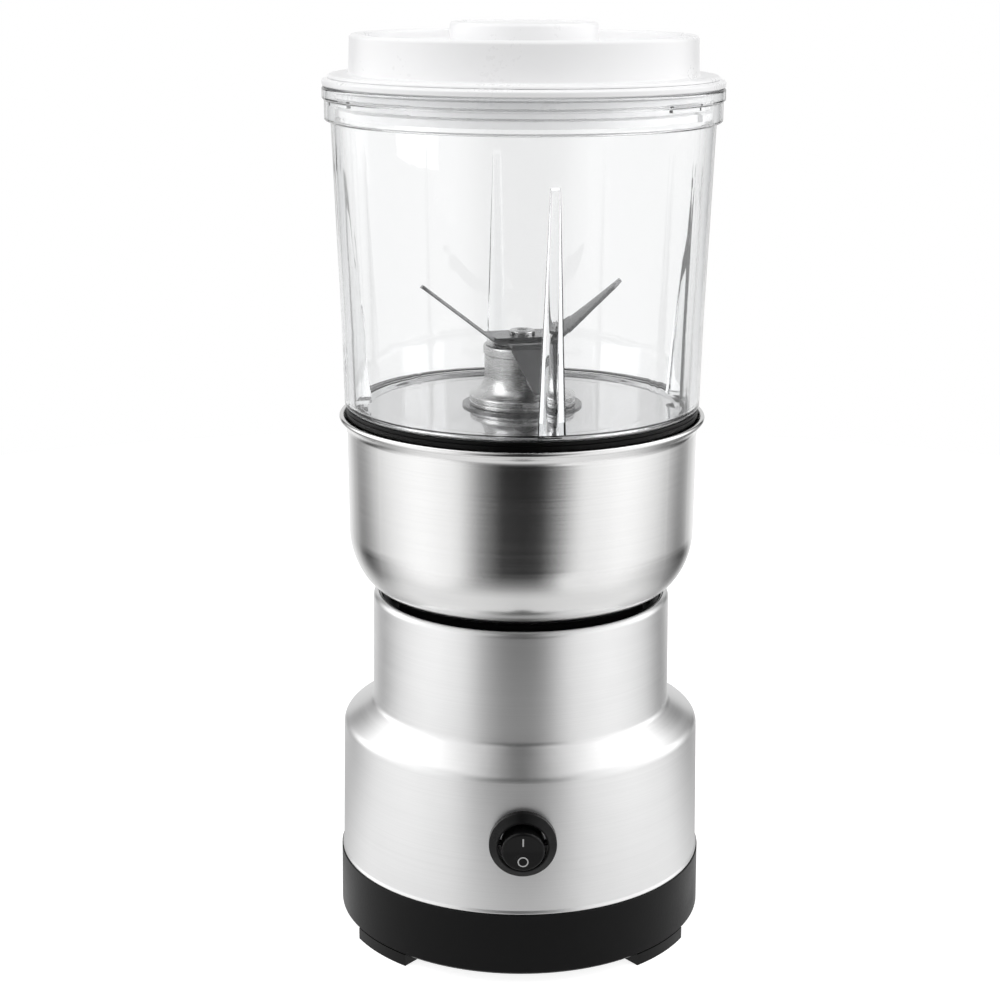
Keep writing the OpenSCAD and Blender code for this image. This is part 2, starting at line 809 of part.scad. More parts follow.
// The two marks, each on its half of the rocker's face, from depth z0 to z1 above the face
module marks(z0, z1, grow) {
    fold_z = rocker_h - rocker_r * tan(rocker_fold);
    translate([0, 0, fold_z]) {
        rotate([rocker_fold, 0, 0]) translate([-(mark_w + grow) / 2, mark_off - (mark_l + grow) / 2, z0])
            cube([mark_w + grow, mark_l + grow, z1 - z0]);
        rotate([-rocker_fold, 0, 0]) translate([0, -mark_off, z0])
            difference() {
                cylinder(d = mark_d + grow, h = z1 - z0);
                translate([0, 0, -over])
                    cylinder(d = mark_d - 2 * mark_w - grow, h = z1 - z0 + 2 * over);
            }
    }
}

module rocker_button() {
    pin_l = barrel_r - 0.3;
    tail = 1.2;
    fold_z = rocker_h - rocker_r * tan(rocker_fold);
    high = rocker_h + over;
    color("#242425")
    on_rocker()
    difference() {
        union() {
            difference() {
                translate([0, 0, -tail]) cylinder(r = rocker_r, h = rocker_h + tail + over);
                translate([-rocker_r - over, 0, 0]) rotate([90, 0, 90])
                    linear_extrude(2 * rocker_r + 2 * over)
                    polygon([
                        [0, fold_z], [rocker_r + over, fold_z + (rocker_r + over) * tan(rocker_fold)],
                        [rocker_r + over, high + over], [-rocker_r - over, high + over],
                        [-rocker_r - over, fold_z + (rocker_r + over) * tan(rocker_fold)]
                    ]);
            }
            rotate([0, 90, 0]) cylinder(d = pivot_d, h = 2 * pin_l, center = true);
        }
        marks(-mark_t, over, 0.04);
    }
}

module rocker_marks() {
    color("#e6e6e6") on_rocker() marks(-mark_t, 0.03, 0);
}

module cord_inlet() {
    wall_in = base_r - base_wall - 0.5;
    tail_r = inlet_neck_d / 2 - 0.2;
    tail_low = wall_in - inlet_flange_h - 3.5;
    front = inlet_face + inlet_flange_h;
    flange_r = inlet_flange_d / 2;
    color("#161616")
    translate([0, 0, inlet_z])
    rotate([-90, 0, 0])
    lathe([
        [inlet_d / 2, tail_low], [tail_r, tail_low], [tail_r, wall_in - inlet_flange_h],
        [flange_r, wall_in - inlet_flange_h], [flange_r, wall_in], [inlet_neck_d / 2, wall_in],
        [inlet_neck_d / 2, inlet_face + 0.05], [flange_r, inlet_face + 0.05],
        [flange_r, front - 0.5], [flange_r - 0.5, front], [inlet_d / 2 + bevel, front],
        [inlet_d / 2, front - bevel]
    ]);
}

// An insulated wire through a list of points
module wire(points) {
    for (i = [0:len(points) - 2]) {
        d = points[i + 1] - points[i];
        translate(points[i]) {
            rotate([0, acos(d[2] / norm(d)), atan2(d[1], d[0])])
                cylinder(d = wire_d, h = norm(d), $fn = 24);
            if (i > 0) sphere(d = wire_d * 1.04, $fn = 24);
        }
    }
}

module lead_wires() {
    tab_y = terminal_end - 1.6;
    run_z = floor_top + wire_d;
    side_x = 8;
    back_y = base_r - 9;
    color("#8a2f2a") {
        wire([[-2.6, tab_y, switch_z - 2.4 - wire_d / 2], [-2.6, tab_y, brush_z + 8],
              [-1, -holder_out - 2.4, brush_z]]);
        wire([[2.6, tab_y, switch_z - 2.4 - wire_d / 2], [side_x, tab_y - 2, brush_z],
              [side_x, tab_y - 2, run_z], [side_x, back_y - 8, run_z], [1.6, back_y, inlet_z]]);
        wire([[-1.6, back_y, inlet_z], [-9, back_y - 6, inlet_z + 3],
              [-8, holder_out + 3.4, brush_z], [-1, holder_out + 2.4, brush_z]]);
    }
}

// ---- motor ------------------------------------------------------------------------------

module motor_posts(z, h) {
    for (x = [-1, 1], y = [-1, 1])
        translate([x * bolt_x, y * bolt_y, z]) cylinder(r = post_r, h = h);
}

module post_holes(z, h) {
    bolt_places() translate([0, 0, z]) cylinder(d = bolt_d + 6 * fix_gap, h = h);
    screw_places() translate([0, 0, z]) cylinder(d = screw_d + 4 * fix_gap, h = h);
}

module motor_top_bracket() {
    cradle_h = top_plate_z - core_high;
    color("#aeb2b6")
    difference() {
        union() {
            translate([0, 0, top_plate_z]) linear_extrude(bracket_t)
                round_plate(core_w, core_d, post_r);
            motor_posts(core_high, cradle_h + 1);
            translate([0, 0, top_bush_z]) cylinder(r = bush_r + 1.8, h = bush_h);
        }
        translate([0, 0, top_bush_z - over])
            cylinder(r = bush_r + fix_gap, h = bush_h + 2 * over);
        post_holes(core_high - over, cradle_h + bracket_t + 2 * over);
    }
}

module motor_bottom_bracket() {
    boss_r = bush_r + 2;
    color("#3a2a22")
    difference() {
        union() {
            translate([0, 0, low_plate_z]) linear_extrude(bracket_t)
                round_plate(core_w, core_d, post_r);
            motor_posts(low_plate_z, core_low - low_plate_z);
            translate([0, 0, low_bush_z]) cylinder(r = boss_r, h = low_bush_h - 0.8);
            for (s = [-1, 1])
                translate([-brush_w, s * (holder_in + holder_out) / 2 - 6, low_plate_z])
                cube([2 * brush_w, 12, brush_z - brush_h / 2 - holder_wall - low_plate_z]);
        }
        translate([0, 0, low_bush_z - over])
            cylinder(r = bush_r + fix_gap, h = low_bush_h + 2 * over);
        post_holes(low_plate_z - over, core_low - low_plate_z + 2 * over);
    }
}

module motor_bolts() {
    head_h = 2.4;
    color("#9a9da0")
    bolt_places()
    translate([0, 0, low_plate_z - head_h]) {
        cylinder(d = bolt_d * 1.8, h = head_h, $fn = 6);
        cylinder(d = bolt_d, h = head_h + top_plate_z + bracket_t - low_plate_z - 0.5);
    }
}

module frame_screws() {
    color("#b9bcc0")
    screw_places()
    translate([0, 0, well_z]) mirror([0, 0, 1])
    difference() {
        screw(well_floor + pad_h + 10);
        cross_slot(screw_head_d * 0.6, 0.8);
    }
}

module field_core() {
    gap_r = armature_d / 2 + air_gap;
    shoe = 3;
    window_w = core_w - 12;
    window_d = core_d - 10;
    neck_w = 14;
    color("#6d7074")
    translate([0, 0, core_low])
    difference() {
        linear_extrude(stack_h)
        difference() {
            round_plate(core_w, core_d, post_r);
            difference() {
                round_plate(window_w, window_d, 5);
                difference() {
                    circle(gap_r + shoe);
                    for (s = [-1, 1])
                        rotate([0, 0, s * 90]) polygon([[0, 0], [50, -42], [50, 42]]);
                }
                square([core_w, neck_w], center = true);
            }
            circle(gap_r);
        }
        post_holes(-over, stack_h + 2 * over);
    }
}

module field_coils() {
    neck_w = 14;
    coil_x = armature_d / 2 + air_gap + 3 + 0.3;
    coil_t = core_w / 2 - 6 - coil_x - 0.3;
    grow = 4.4;
    color("#b4622b")
    for (s = [-1, 1])
        translate([s * (coil_x + coil_t / 2), 0, stack_z])
        rotate([0, 90, 0])
        translate([0, 0, -coil_t / 2])
        linear_extrude(coil_t)
        difference() {
            round_plate(stack_h + 2 * grow, neck_w + 2 * grow, 3);
            square([stack_h + 0.6, neck_w + 0.6], center = true);
        }
}

// Puts its children on each side of the commutator, pointing outwards along y
module brush_sides() {
    for (s = [0, 180]) rotate([0, 0, s]) translate([0, 0, brush_z]) children();
}

module brush_holders() {
    slide = 0.15;
    l = holder_out - holder_in;
    color("#c9a24b")
    brush_sides()
    translate([0, (holder_in + holder_out) / 2, 0])
    difference() {
        cube([brush_w + 2 * holder_wall, l, brush_h + 2 * holder_wall], center = true);
        cube([brush_w + 2 * slide, l + 2 * over, brush_h + 2 * slide], center = true);
        translate([0, 1, holder_wall])
            cube([1.6, l - 4, brush_h + 2 * holder_wall], center = true);
    }
}

module carbon_brushes() {
    color("#3b3b3d")
    brush_sides()
    difference() {
        translate([-brush_w / 2, 0, -brush_h / 2])
            cube([brush_w, commutator_d / 2 + 0.2 + brush_l, brush_h]);
        cylinder(r = commutator_d / 2 + 0.1, h = 2 * brush_h, center = true);
    }
}

module brush_springs() {
    strip = 0.4;
    w = 3;
    tip = commutator_d / 2 + 0.2 + brush_l + 0.1;
    color("#b08a3c")
    brush_sides() {
        translate([-w / 2, tip, -1.5]) cube([w, strip, 3]);
        translate([-w / 2, tip, -strip / 2]) cube([w, holder_out + 1 - tip, strip]);
        translate([-w / 2, holder_out + 0.2, -brush_h / 2 - holder_wall])
            cube([w, strip * 2, brush_h / 2 + holder_wall]);
    }
}

module upper_motor_bush() {
    color("#a9763a") tube(bush_r, shaft_r + run_gap, top_bush_z, bush_h);
}

module lower_motor_bush() {
    color("#a9763a") tube(bush_r, shaft_r + run_gap, low_bush_z, low_bush_h);
}

module motor_shaft() {
    color("#c3c6c9")
    translate([0, 0, low_bush_z - 0.5])
        cylinder(r = shaft_r, h = dog_top - 0.2 - low_bush_z + 0.5);
}

slot_r = 2.3;

module slot_places() {
    for (i = [0:slots - 1])
        rotate([0, 0, 360 * i / slots]) translate([armature_d / 2 - slot_r - 1.6, 0, 0]) children();
}

module armature_core() {
    color("#7b7e82")
    translate([0, 0, core_low])
    difference() {
        cylinder(r = armature_d / 2, h = stack_h);
        translate([0, 0, -over]) {
            cylinder(r = shaft_r + fix_gap, h = stack_h + 2 * over);
            slot_places() {
                cylinder(r = slot_r, h = stack_h + 2 * over);
                translate([0, -0.8, 0]) cube([2 * slot_r + 2, 1.6, stack_h + 2 * over]);
            }
        }
    }
}

module armature_windings() {
    in_r = shaft_r + 1.6;
    out_r = armature_d / 2 - 1.4;
    edge = 1.6;
    h = winding_h - 0.4;
    color("#b4622b") {
        for (z = [core_high + 0.2, core_low - 0.2 - h])
            translate([0, 0, z])
            lathe([
                [in_r, edge], [in_r + edge, 0], [out_r - edge, 0], [out_r, edge],
                [out_r, h - edge], [out_r - edge, h], [in_r + edge, h], [in_r, h - edge]
            ]);
        slot_places()
            translate([0, 0, core_low - 0.2 - edge])
            cylinder(r = slot_r - 0.15, h = stack_h + 0.4 + 2 * edge);
    }
}

module commutator() {
    bars = 20;
    r = commutator_d / 2;
    color("#b87333")
    translate([0, 0, commutator_z])
    difference() {
        cylinder(r = r, h = commutator_h);
        translate([0, 0, -over]) cylinder(r = shaft_r + fix_gap, h = commutator_h + 2 * over);
        for (i = [0:bars - 1])
            rotate([0, 0, 360 * i / bars]) translate([r - 0.7, -0.2, -over])
                cube([2, 0.4, commutator_h + 2 * over]);
    }
}

module cooling_fan() {
    hub = 6;
    color("#e8e4d8")
    difference() {
        translate([0, 0, fan_z]) {
            cylinder(r = fan_d / 2, h = fan_disc);
            cylinder(r = hub, h = fan_disc + fan_blade_h);
            for (i = [0:fan_blades - 1])
                rotate([0, 0, 360 * i / fan_blades])
                translate([hub - 0.5, -0.6, fan_disc - eps])
                cube([fan_d / 2 - hub - 0.5, 1.2, fan_blade_h]);
        }
        translate([0, 0, fan_z - over])
            cylinder(r = shaft_r + fix_gap, h = fan_disc + fan_blade_h + 2 * over);
    }
}

module thrust_washers() {
    t = 0.6;
    color("#d8c9a0") {
        tube(shaft_r + 2, shaft_r + fix_gap, top_bush_z - part_gap - t, t);
        tube(shaft_r + 2, shaft_r + fix_gap, low_bush_z + low_bush_h + part_gap, t);
    }
}

// A ring of dogs that stands on the plane z
module dog_ring(z, turn) {
    for (i = [0:dogs - 1])
        at_az(turn + 360 * i / dogs)
            ring_block(dog_in_r, dog_r - 0.2, dog_span, z - 0.5, dog_h + 0.5);
}

module drive_coupling() {
    color("#ececea")
    difference() {
        union() {
            translate([0, 0, drive_z]) cylinder(r = dog_r, h = dog_disc);
            translate([0, 0, drive_z - 0.5]) cylinder(r = shaft_r + 1.4, h = 1);
            translate([0, 0, drive_z]) cylinder(r = hub_r, h = dog_disc + dog_h - 0.4);
            dog_ring(drive_z + dog_disc, 0);
        }
        translate([0, 0, drive_z - over])
            cylinder(r = shaft_r + fix_gap, h = dog_disc + dog_h + 2 * over);
    }
}

// ---- bowl and blade stand ---------------------------------------------------------------

// Outer line of the bowl moved inwards by t, from radius r0 on the flat to the height z1
function bowl_line(t, r0, z1) = concat(
    [[r0, bowl_z + t]],
    ellipse([bowl_r - corner_w, corner_z], corner_w - t, corner_h - t, -90, 0),
    [[bowl_r - t + bowl_draft / 2 * (z1 - corner_z) / (bowl_top - corner_z), z1]]
);

module steel_bowl() {
    flare_z = bowl_top - 2.9;
    wall_top = bowl_r + bowl_draft / 2;
    bead_z = bowl_top - bead_r;
    hole_r = spigot_r + 0.2;
    color("#cdcfd1")
    difference() {
        union() {
            lathe(concat(
                bowl_line(0, hole_r, flare_z),
                [[wall_top + 0.35, bowl_top - 1.9], [lip_mid_r, bead_z - bead_r],
                 [lip_mid_r, bead_z + 0.1], [wall_top - 0.1, bowl_top - 1.1],
                 [wall_top - bowl_t, flare_z]],
                reversed(bowl_line(bowl_t, hole_r, flare_z - 0.6))
            ));
            rotate_extrude() translate([lip_mid_r, bead_z]) circle(bead_r, $fn = 24);
        }
        for (i = [0:keys - 1])
            at_az(360 * (i + 0.5) / keys)
                translate([-key_w / 2 - 0.2, -(spigot_r + key_h + 0.2), bowl_z - over])
                cube([key_w + 0.4, 2 * key_h, bowl_t + 2 * over]);
    }
}

module bowl_liner() {
    t = bowl_t + liner_gap;
    spigot_in = spigot_r - 2.4;
    bush_hole = blade_bush_r + fix_gap;
    boss_r = blade_bush_r + 3;
    boss_top = lower_bush_z + lower_bush_h;
    color("#202021")
    difference() {
        union() {
            lathe(concat(
                [[spigot_in, spigot_z], [spigot_r - bevel, spigot_z], [spigot_r, spigot_z + bevel],
                 [spigot_r, liner_z]],
                bowl_line(t, bowl_r - corner_w - 0.2, liner_top),
                reversed(bowl_line(t + liner_wall, boss_r, liner_top)),
                [[boss_r, boss_top], [bush_hole, boss_top], [bush_hole, liner_z],
                 [spigot_in, liner_z]]
            ));
            for (i = [0:keys - 1])
                at_az(360 * (i + 0.5) / keys)
                    translate([-key_w / 2, -(spigot_r + key_h), bowl_z - 7.5])
                    cube([key_w, 2 * key_h, 7]);
            for (az = seat_screw_az)
                at_az(az) translate([0, -seat_screw_r, liner_z + 1])
                    cylinder(r = 3.6, h = liner_top - liner_z - 1);
        }
        for (az = seat_screw_az)
            at_az(az) translate([0, -seat_screw_r, liner_top - 12])
                cylinder(d = screw_d + 2 * fix_gap, h = 12 + over);
    }
}

module cup_seat() {
    plug_wall = 2.2;
    wall_r = bowl_r - bowl_t - liner_gap;
    post = 4.6;
    color("#1a1a1b")
    difference() {
        union() {
            lathe([
                [plug_r - plug_wall, liner_top], [wall_r, liner_top], [wall_r, liner_top + seat_flange],
                [plug_r, liner_top + seat_flange], [plug_r, seat_top - bevel],
                [plug_r - bevel, seat_top], [stem_r + fix_gap, seat_top],
                [stem_r + fix_gap, seat_top - seat_deck], [plug_r - plug_wall, seat_top - seat_deck]
            ]);
            for (az = seat_screw_az)
                at_az(az) translate([0, -seat_screw_r, liner_top])
                    cylinder(r = post, h = seat_top - liner_top - 1);
            for (i = [0:lugs - 1])
                at_az(lug_az + 360 * i / lugs)
                    ring_block(plug_r - 1, plug_r + lug_h, lug_span, cup_lug_z, lug_t);
        }
        for (az = seat_screw_az)
            at_az(az) translate([0, -seat_screw_r, 0]) {
                translate([0, 0, liner_top - over])
                    cylinder(d = screw_d + 4 * fix_gap, h = seat_top - liner_top + 2 * over);
                translate([0, 0, seat_top - screw_head_h - 0.1])
                    cylinder(d = screw_head_d + 0.6, h = screw_head_h + over);
            }
    }
}

module seat_screws() {
    color("#b9bcc0")
    for (az = seat_screw_az)
        at_az(az) translate([0, -seat_screw_r, seat_top - 0.1]) mirror([0, 0, 1])
        difference() {
            screw(seat_top - liner_top + 8);
            cross_slot(screw_head_d * 0.6, 0.8);
        }
}

module floor_plate() {
    r = plug_r - plate_inset;
    rim_top = plate_z + plate_rim_h;
    color("#d9dadc")
    lathe([
        [stem_r + fix_gap, seat_top], [r, seat_top], [r, rim_top - 0.3], [r - 0.3, rim_top],
        [r - 1.3, rim_top], [r - 2, plate_z + 0.1], [r - 2.6, plate_z],
        [stem_r + fix_gap, plate_z]
    ]);
}

module stand_washer() {
    color("#3c3d3f") tube(washer_d / 2, stem_r + fix_gap, plate_z, washer_t);
}

module blade_stand() {
    foot_r = stand_foot_d / 2;
    col_r = stand_d / 2;
    col_low = stand_z + 8;
    collar_r = collar_d / 2;
    collar_low = stand_top - 2.6;
    shaft_hole = blade_shaft_r + 0.5;
    bush_pocket = blade_bush_r + fix_gap;
    seal_z = stand_top - seal_h - 0.6;
    bush_z = seal_z - 0.2 - bush2_h;
    color("#c4c6c8")
    lathe(concat(
        [[shaft_hole, stem_z], [stem_r, stem_z], [stem_r, stand_z], [foot_r - 0.3, stand_z],
         [foot_r, stand_z + 0.3], [foot_r, stand_z + 1], [foot_r - 0.3, stand_z + 1.2],
         [foot_r, stand_z + 1.4], [foot_r - 0.1, stand_z + 2.4]],
        ellipse([foot_r - 0.6, col_low], foot_r - 0.6 - col_r, col_low - stand_z - 3, -90, -180, 10),
        [[col_r, collar_low - 0.3], [collar_r, collar_low], [collar_r, stand_top - 0.8],
         [collar_r - 0.8, stand_top], [blade_bush_r + 0.5 + fix_gap, stand_top],
         [blade_bush_r + 0.5 + fix_gap, seal_z], [bush_pocket, seal_z],
         [bush_pocket, bush_z - 0.1], [shaft_hole, bush_z - 0.1]]
    ));
}

module stand_nut() {
    color("#a9acb0")
    translate([0, 0, seat_top - seat_deck - nut_h - 0.1])
    difference() {
        cylinder(d = nut_d, h = nut_h, $fn = 6);
        translate([0, 0, -over]) cylinder(r = stem_r + fix_gap, h = nut_h + 2 * over);
    }
}

module upper_blade_bush() {
    color("#a9763a")
        tube(blade_bush_r, blade_shaft_r + run_gap, stand_top - seal_h - 0.8 - bush2_h, bush2_h);
}

module lower_blade_bush() {
    color("#a9763a") {
        tube(blade_bush_r, blade_shaft_r + run_gap, lower_bush_z, lower_bush_h);
        tube(blade_bush_r + 1.6, blade_shaft_r + run_gap, lower_bush_z + lower_bush_h, 1);
    }
}

module shaft_seal() {
    color("#2b2b2c")
        tube(blade_bush_r + 0.5, blade_shaft_r + run_gap, stand_top - seal_h - 0.6, seal_h);
}

// ---- blades -----------------------------------------------------------------------------

module blade_shaft() {
    color("#c3c6c9")
    translate([0, 0, driven_z + 0.4])
        cylinder(r = blade_shaft_r, h = cap_z - driven_z - 0.4 - 0.1);
}

module blade_spacer() {
    color("#303133")
        tube(7.5, blade_shaft_r + fix_gap, spacer_z, spacer_t);
}

// A two-armed blade with its hub at height z, whose arms bend at bend_r and rise to the tips
module bent_blade(z, bend_r, tip_r, rise) {
    under = [[-tip_r, rise, 0], [-bend_r, 0, 0], [bend_r, 0, 0], [tip_r, rise, 0]];
    side = concat(rounded(under), reversed(rounded(inset(under, blade_t))));
    w = blade_w / 2;
    tip_w = blade_tip_w / 2;
    nose = 0.7;
    translate([0, 0, z])
    difference() {
        intersection() {
            rotate([90, 0, 90]) linear_extrude(blade_w + over, center = true) polygon(side);
            translate([0, 0, -tip_r]) linear_extrude(3 * tip_r)
                polygon([
                    [w, bend_r], [tip_w, tip_r - nose], [tip_w - nose, tip_r + blade_t],
                    [nose - tip_w, tip_r + blade_t], [-tip_w, tip_r - nose], [-w, bend_r],
                    [-w, -bend_r], [-tip_w, nose - tip_r], [nose - tip_w, -tip_r - blade_t],
                    [tip_w - nose, -tip_r - blade_t], [tip_w, nose - tip_r], [w, -bend_r]
                ]);
        }
        translate([0, 0, -over])
            cylinder(r = blade_shaft_r + fix_gap, h = blade_t + 2 * over);
    }
}

module lower_blade() {
    color("#a8abae") at_az(blade_az + 90) bent_blade(low_blade_z, down_bend_r, down_tip_r, -down_tip_h);
}

module upper_blade() {
    color("#b6b9bc") at_az(blade_az) bent_blade(up_blade_z, up_bend_r, up_tip_r, up_tip_h);
}

module blade_cap() {
    r = 3.5;
    color("#9b9ea2")
    translate([0, 0, cap_z])
        lathe([[0, 0], [r, 0], [r, cap_h - bevel], [r - bevel, cap_h], [1.6, cap_h],
               [1.4, cap_h - 0.3], [0, cap_h - 0.3]]);
}

module shaft_clip() {
    color("#7f8286")
        tube(blade_shaft_r + 1.6, blade_shaft_r + fix_gap, lower_bush_z - part_gap - clip_t, clip_t);
}

module driven_coupling() {
    color("#2a2a2b")
    difference() {
        union() {
            translate([0, 0, driven_z]) cylinder(r = dog_r, h = dog_disc);
            mirror([0, 0, 1]) dog_ring(-driven_z, 180 / dogs);
        }
        translate([0, 0, driven_z - over])
            cylinder(r = blade_shaft_r + fix_gap, h = dog_disc + 2 * over);
    }
}

// ---- cup and lid ------------------------------------------------------------------------

module cup_gasket() {
    in_r = cup_spigot_r + part_gap;
    out_r = bowl_r + bowl_draft / 2 + 0.1;
    low = bowl_top - 2.4;
    high = cup_z - part_gap;
    color("#141414")
    lathe([
        [in_r, low], [in_r + 0.1, low], [out_r - bevel, bowl_top - 1], [out_r - 0.1, bowl_top - 0.5],
        [out_r, (bowl_top + high) / 2], [out_r - 0.1, high - 0.2], [out_r - bevel, high], [in_r, high]
    ]);
}

// One rib, at the front, from a wide foot to a narrow tip
module rib() {
    low_root = cup_low_r - cup_wall / 2;
    high_in = cup_low_r + cup_slope * rib_h - cup_wall - 0.6;
    high_root = high_in + 1.4;
    low_nose = rib_low_r + rib_low_w / 2;
    high_nose = high_in + rib_high_w / 2;
    hull() {
        translate([0, 0, rib_low_z]) linear_extrude(eps) {
            translate([0, -low_nose]) circle(d = rib_low_w, $fn = hull_fn);
            translate([-rib_low_w / 2, -low_root]) square([rib_low_w, low_root - low_nose]);
        }
        translate([0, 0, rib_high_z]) linear_extrude(eps) {
            translate([0, -high_nose]) circle(d = rib_high_w, $fn = hull_fn);
            translate([-rib_high_w / 2, -high_root]) square([rib_high_w, high_root - high_nose]);
        }
    }
}

module clear_cup() {
    rim_low = cup_top - rim_h;
    low_in = cup_low_r - cup_wall;
    high_in = cup_high_r - cup_wall;
    color([0.85, 0.9, 0.92, 0.35])
    difference() {
        union() {
            lathe([
                [cup_bore_r, cup_spigot_z], [cup_spigot_r - bevel, cup_spigot_z],
                [cup_spigot_r, cup_spigot_z + bevel], [cup_spigot_r, cup_z],
                [cup_low_r - 0.7, cup_z], [cup_low_r, cup_z + 0.7], [knee_r, knee_z],
                [cup_high_r, band_low - 1.4], [band_r - 1, band_low - bevel],
                [band_r, band_low + 0.7], [band_r, rim_low - 0.6], [rim_r, rim_low],
                [rim_r, cup_top - 0.6], [rim_r - 0.6, cup_top], [mouth_r, cup_top],
                [mouth_r, mouth_z], [high_in, mouth_z - 1], [knee_r - cup_wall, knee_z],
                [low_in, cup_z + 0.7], [cup_bore_r, cup_z + 0.7]
            ]);
            for (i = [0:ribs - 1]) at_az(rib_az + 360 * i / ribs) rib();
            for (i = [0:lugs - 1])
                at_az(lug_az + 360 * i / lugs)
                    ring_block(mouth_r - lug_h, mouth_r + 0.5, lug_span, lid_lug_z, lug_t);
        }
        twist_cuts(cup_bore_r - over, plug_r + lug_h + part_gap, cup_spigot_z);
    }
}

module lid_seal() {
    in_r = mouth_r + 0.5 + 0.15;
    color("#eeeeee") tube(in_r + 1.4, in_r, cup_top + 0.15, seal_ring_h);
}

module lid() {
    skirt_in = skirt_r - skirt_wall;
    seal_in = mouth_r + 0.5;
    seal_out = seal_in + 1.7;
    ring_in = ring_r - ring_w;
    moat_fillet = 2.4;
    knob_edge = 1;
    dish_r = knob_r - 2;
    dish = 0.4;
    under = moat_z - lid_wall;
    groove_half = 0.35;
    groove_flat = 0.12;
    color("#f4f4f5")
    difference() {
        lathe(concat(
            [[skirt_in, skirt_z], [skirt_r - 0.3, skirt_z], [skirt_r, skirt_z + 0.3]],
            [for (i = [1:1:skirt_grooves], p = [
                [0, -groove_half], [groove_in, -groove_flat], [groove_in, groove_flat], [0, groove_half]
            ]) [skirt_r - p[0], skirt_z + i * groove_step + p[1]]],
            [[skirt_r, lid_z], [seal_in, lid_z], [seal_in, lid_z + lid_groove],
             [seal_out, lid_z + lid_groove], [seal_out, lid_z],
             [flange_r - 0.3, lid_z], [flange_r, lid_z + 0.3], [flange_r, lid_z + 1.2],
             [flange_r - bevel, lid_z + 1.6], [step_r, lid_z + 1.7]],
            arc([step_r - 0.9, lid_z + 1.9], 0.9, 0, 80),
            [[ring_r + 0.7, flange_top], [ring_r + 0.15, flange_top + 0.6]],
            arc([ring_r - 1, ring_top - 1], 1, 0, 90),
            arc([ring_in + 0.8, ring_top - 0.8], 0.8, 90, 180),
            [[ring_in, moat_z + 0.8], [ring_in - 0.8, moat_z]],
            reversed(arc([knob_r + moat_fillet, moat_z + moat_fillet], moat_fillet, 180, 270)),
            arc([knob_r - knob_edge, knob_top - knob_edge], knob_edge, 0, 90),
            [[dish_r + 0.4, knob_top], [dish_r, knob_top - dish], [0, knob_top - dish],
             [0, knob_top - dish - lid_wall], [knob_r - lid_wall, knob_top - dish - lid_wall],
             [knob_r - lid_wall, under], [ring_in - lid_wall / 2, under],
             [ring_in, under - 1], [ring_in, lid_z + lid_groove + 0.6],
             [skirt_in, lid_z + lid_groove - 0.6]]
        ));
        twist_cuts(mouth_r - lug_h - part_gap, skirt_r + over / 2, skirt_z);
    }
}

// ---- output -----------------------------------------------------------------------------

base_cover();
rubber_feet();
base_screws();
body_shell();
inner_frame();
switch_housing();
switch_terminals();
cord_inlet();
lead_wires();
motor_top_bracket();
motor_bottom_bracket();
motor_bolts();
frame_screws();
field_core();
field_coils();
brush_holders();
carbon_brushes();
brush_springs();
upper_motor_bush();
lower_motor_bush();
rocker_button();
rocker_marks();
motor_shaft();
armature_core();
armature_windings();
commutator();
cooling_fan();
thrust_washers();
drive_coupling();
steel_bowl();
bowl_liner();
cup_seat();
seat_screws();
floor_plate();
stand_washer();
blade_stand();
stand_nut();
upper_blade_bush();
lower_blade_bush();
shaft_seal();
blade_shaft();
blade_spacer();
lower_blade();
upper_blade();
blade_cap();
shaft_clip();
driven_coupling();
cup_gasket();
clear_cup();
lid_seal();
lid();
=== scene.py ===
"""Electric spice grinder: brushed steel motor body and bowl, black base, clear cup, white lid."""

import json
import math

import bpy
import bmesh
from mathutils import Matrix, Vector


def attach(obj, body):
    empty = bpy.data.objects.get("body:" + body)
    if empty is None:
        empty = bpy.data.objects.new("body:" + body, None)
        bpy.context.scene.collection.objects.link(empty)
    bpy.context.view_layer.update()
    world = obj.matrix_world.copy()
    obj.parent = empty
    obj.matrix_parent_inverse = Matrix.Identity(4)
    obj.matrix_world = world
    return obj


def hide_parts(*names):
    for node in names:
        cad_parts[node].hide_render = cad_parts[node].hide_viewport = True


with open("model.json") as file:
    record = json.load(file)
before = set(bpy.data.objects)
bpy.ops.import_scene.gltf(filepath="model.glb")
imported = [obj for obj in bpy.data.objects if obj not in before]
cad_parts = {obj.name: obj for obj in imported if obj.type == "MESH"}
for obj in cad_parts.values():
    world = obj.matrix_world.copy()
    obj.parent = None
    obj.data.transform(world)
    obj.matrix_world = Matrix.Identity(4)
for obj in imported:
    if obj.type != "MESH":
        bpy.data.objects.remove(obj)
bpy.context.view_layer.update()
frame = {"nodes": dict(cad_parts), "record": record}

MM = 0.001

# ---- sizes in millimetres, as the solid model has them ---------------------------------

BODY_R, BODY_LOW, SHOULDER_Z, CREASE_Z = 49.58, 20.3, 57.8, 63.6
NECK_R, NECK_RIM_R, NECK_TOP, SHEET = 40.75, 40.35, 94.2, 0.8
BOWL_R, BOWL_Z, BOWL_TOP, BOWL_SHEET = 46.6, 94.5, 143.7, 0.7
BOWL_LIP_R, BEAD_R = 48.12, 0.75
CUP_Z, CUP_TOP, BAND_Z = 146.3, 229.2, 220.6
CUP_LOW_R, CUP_HIGH_R, CUP_WALL = 47.35, 49.8, 2.4
KNEE_R, KNEE_Z = 47.84, 168.7
BAND_R, RIM_R, RIM_Z, MOUTH_R = 51.4, 51.95, 226.3, 48.9
SPIGOT_Z, SPIGOT_R, SPIGOT_BORE_R = 134.0, 45.6, 43.9
LUG_PLACES, LUG_SPAN, LUG_T = (-68, 52, 172), 14.0, 1.6
LOCK_TURN = 25.0
RIB_PLACES, RIB_TOP_Z = (8.3, 98.3, 188.3, 278.3), 208.3
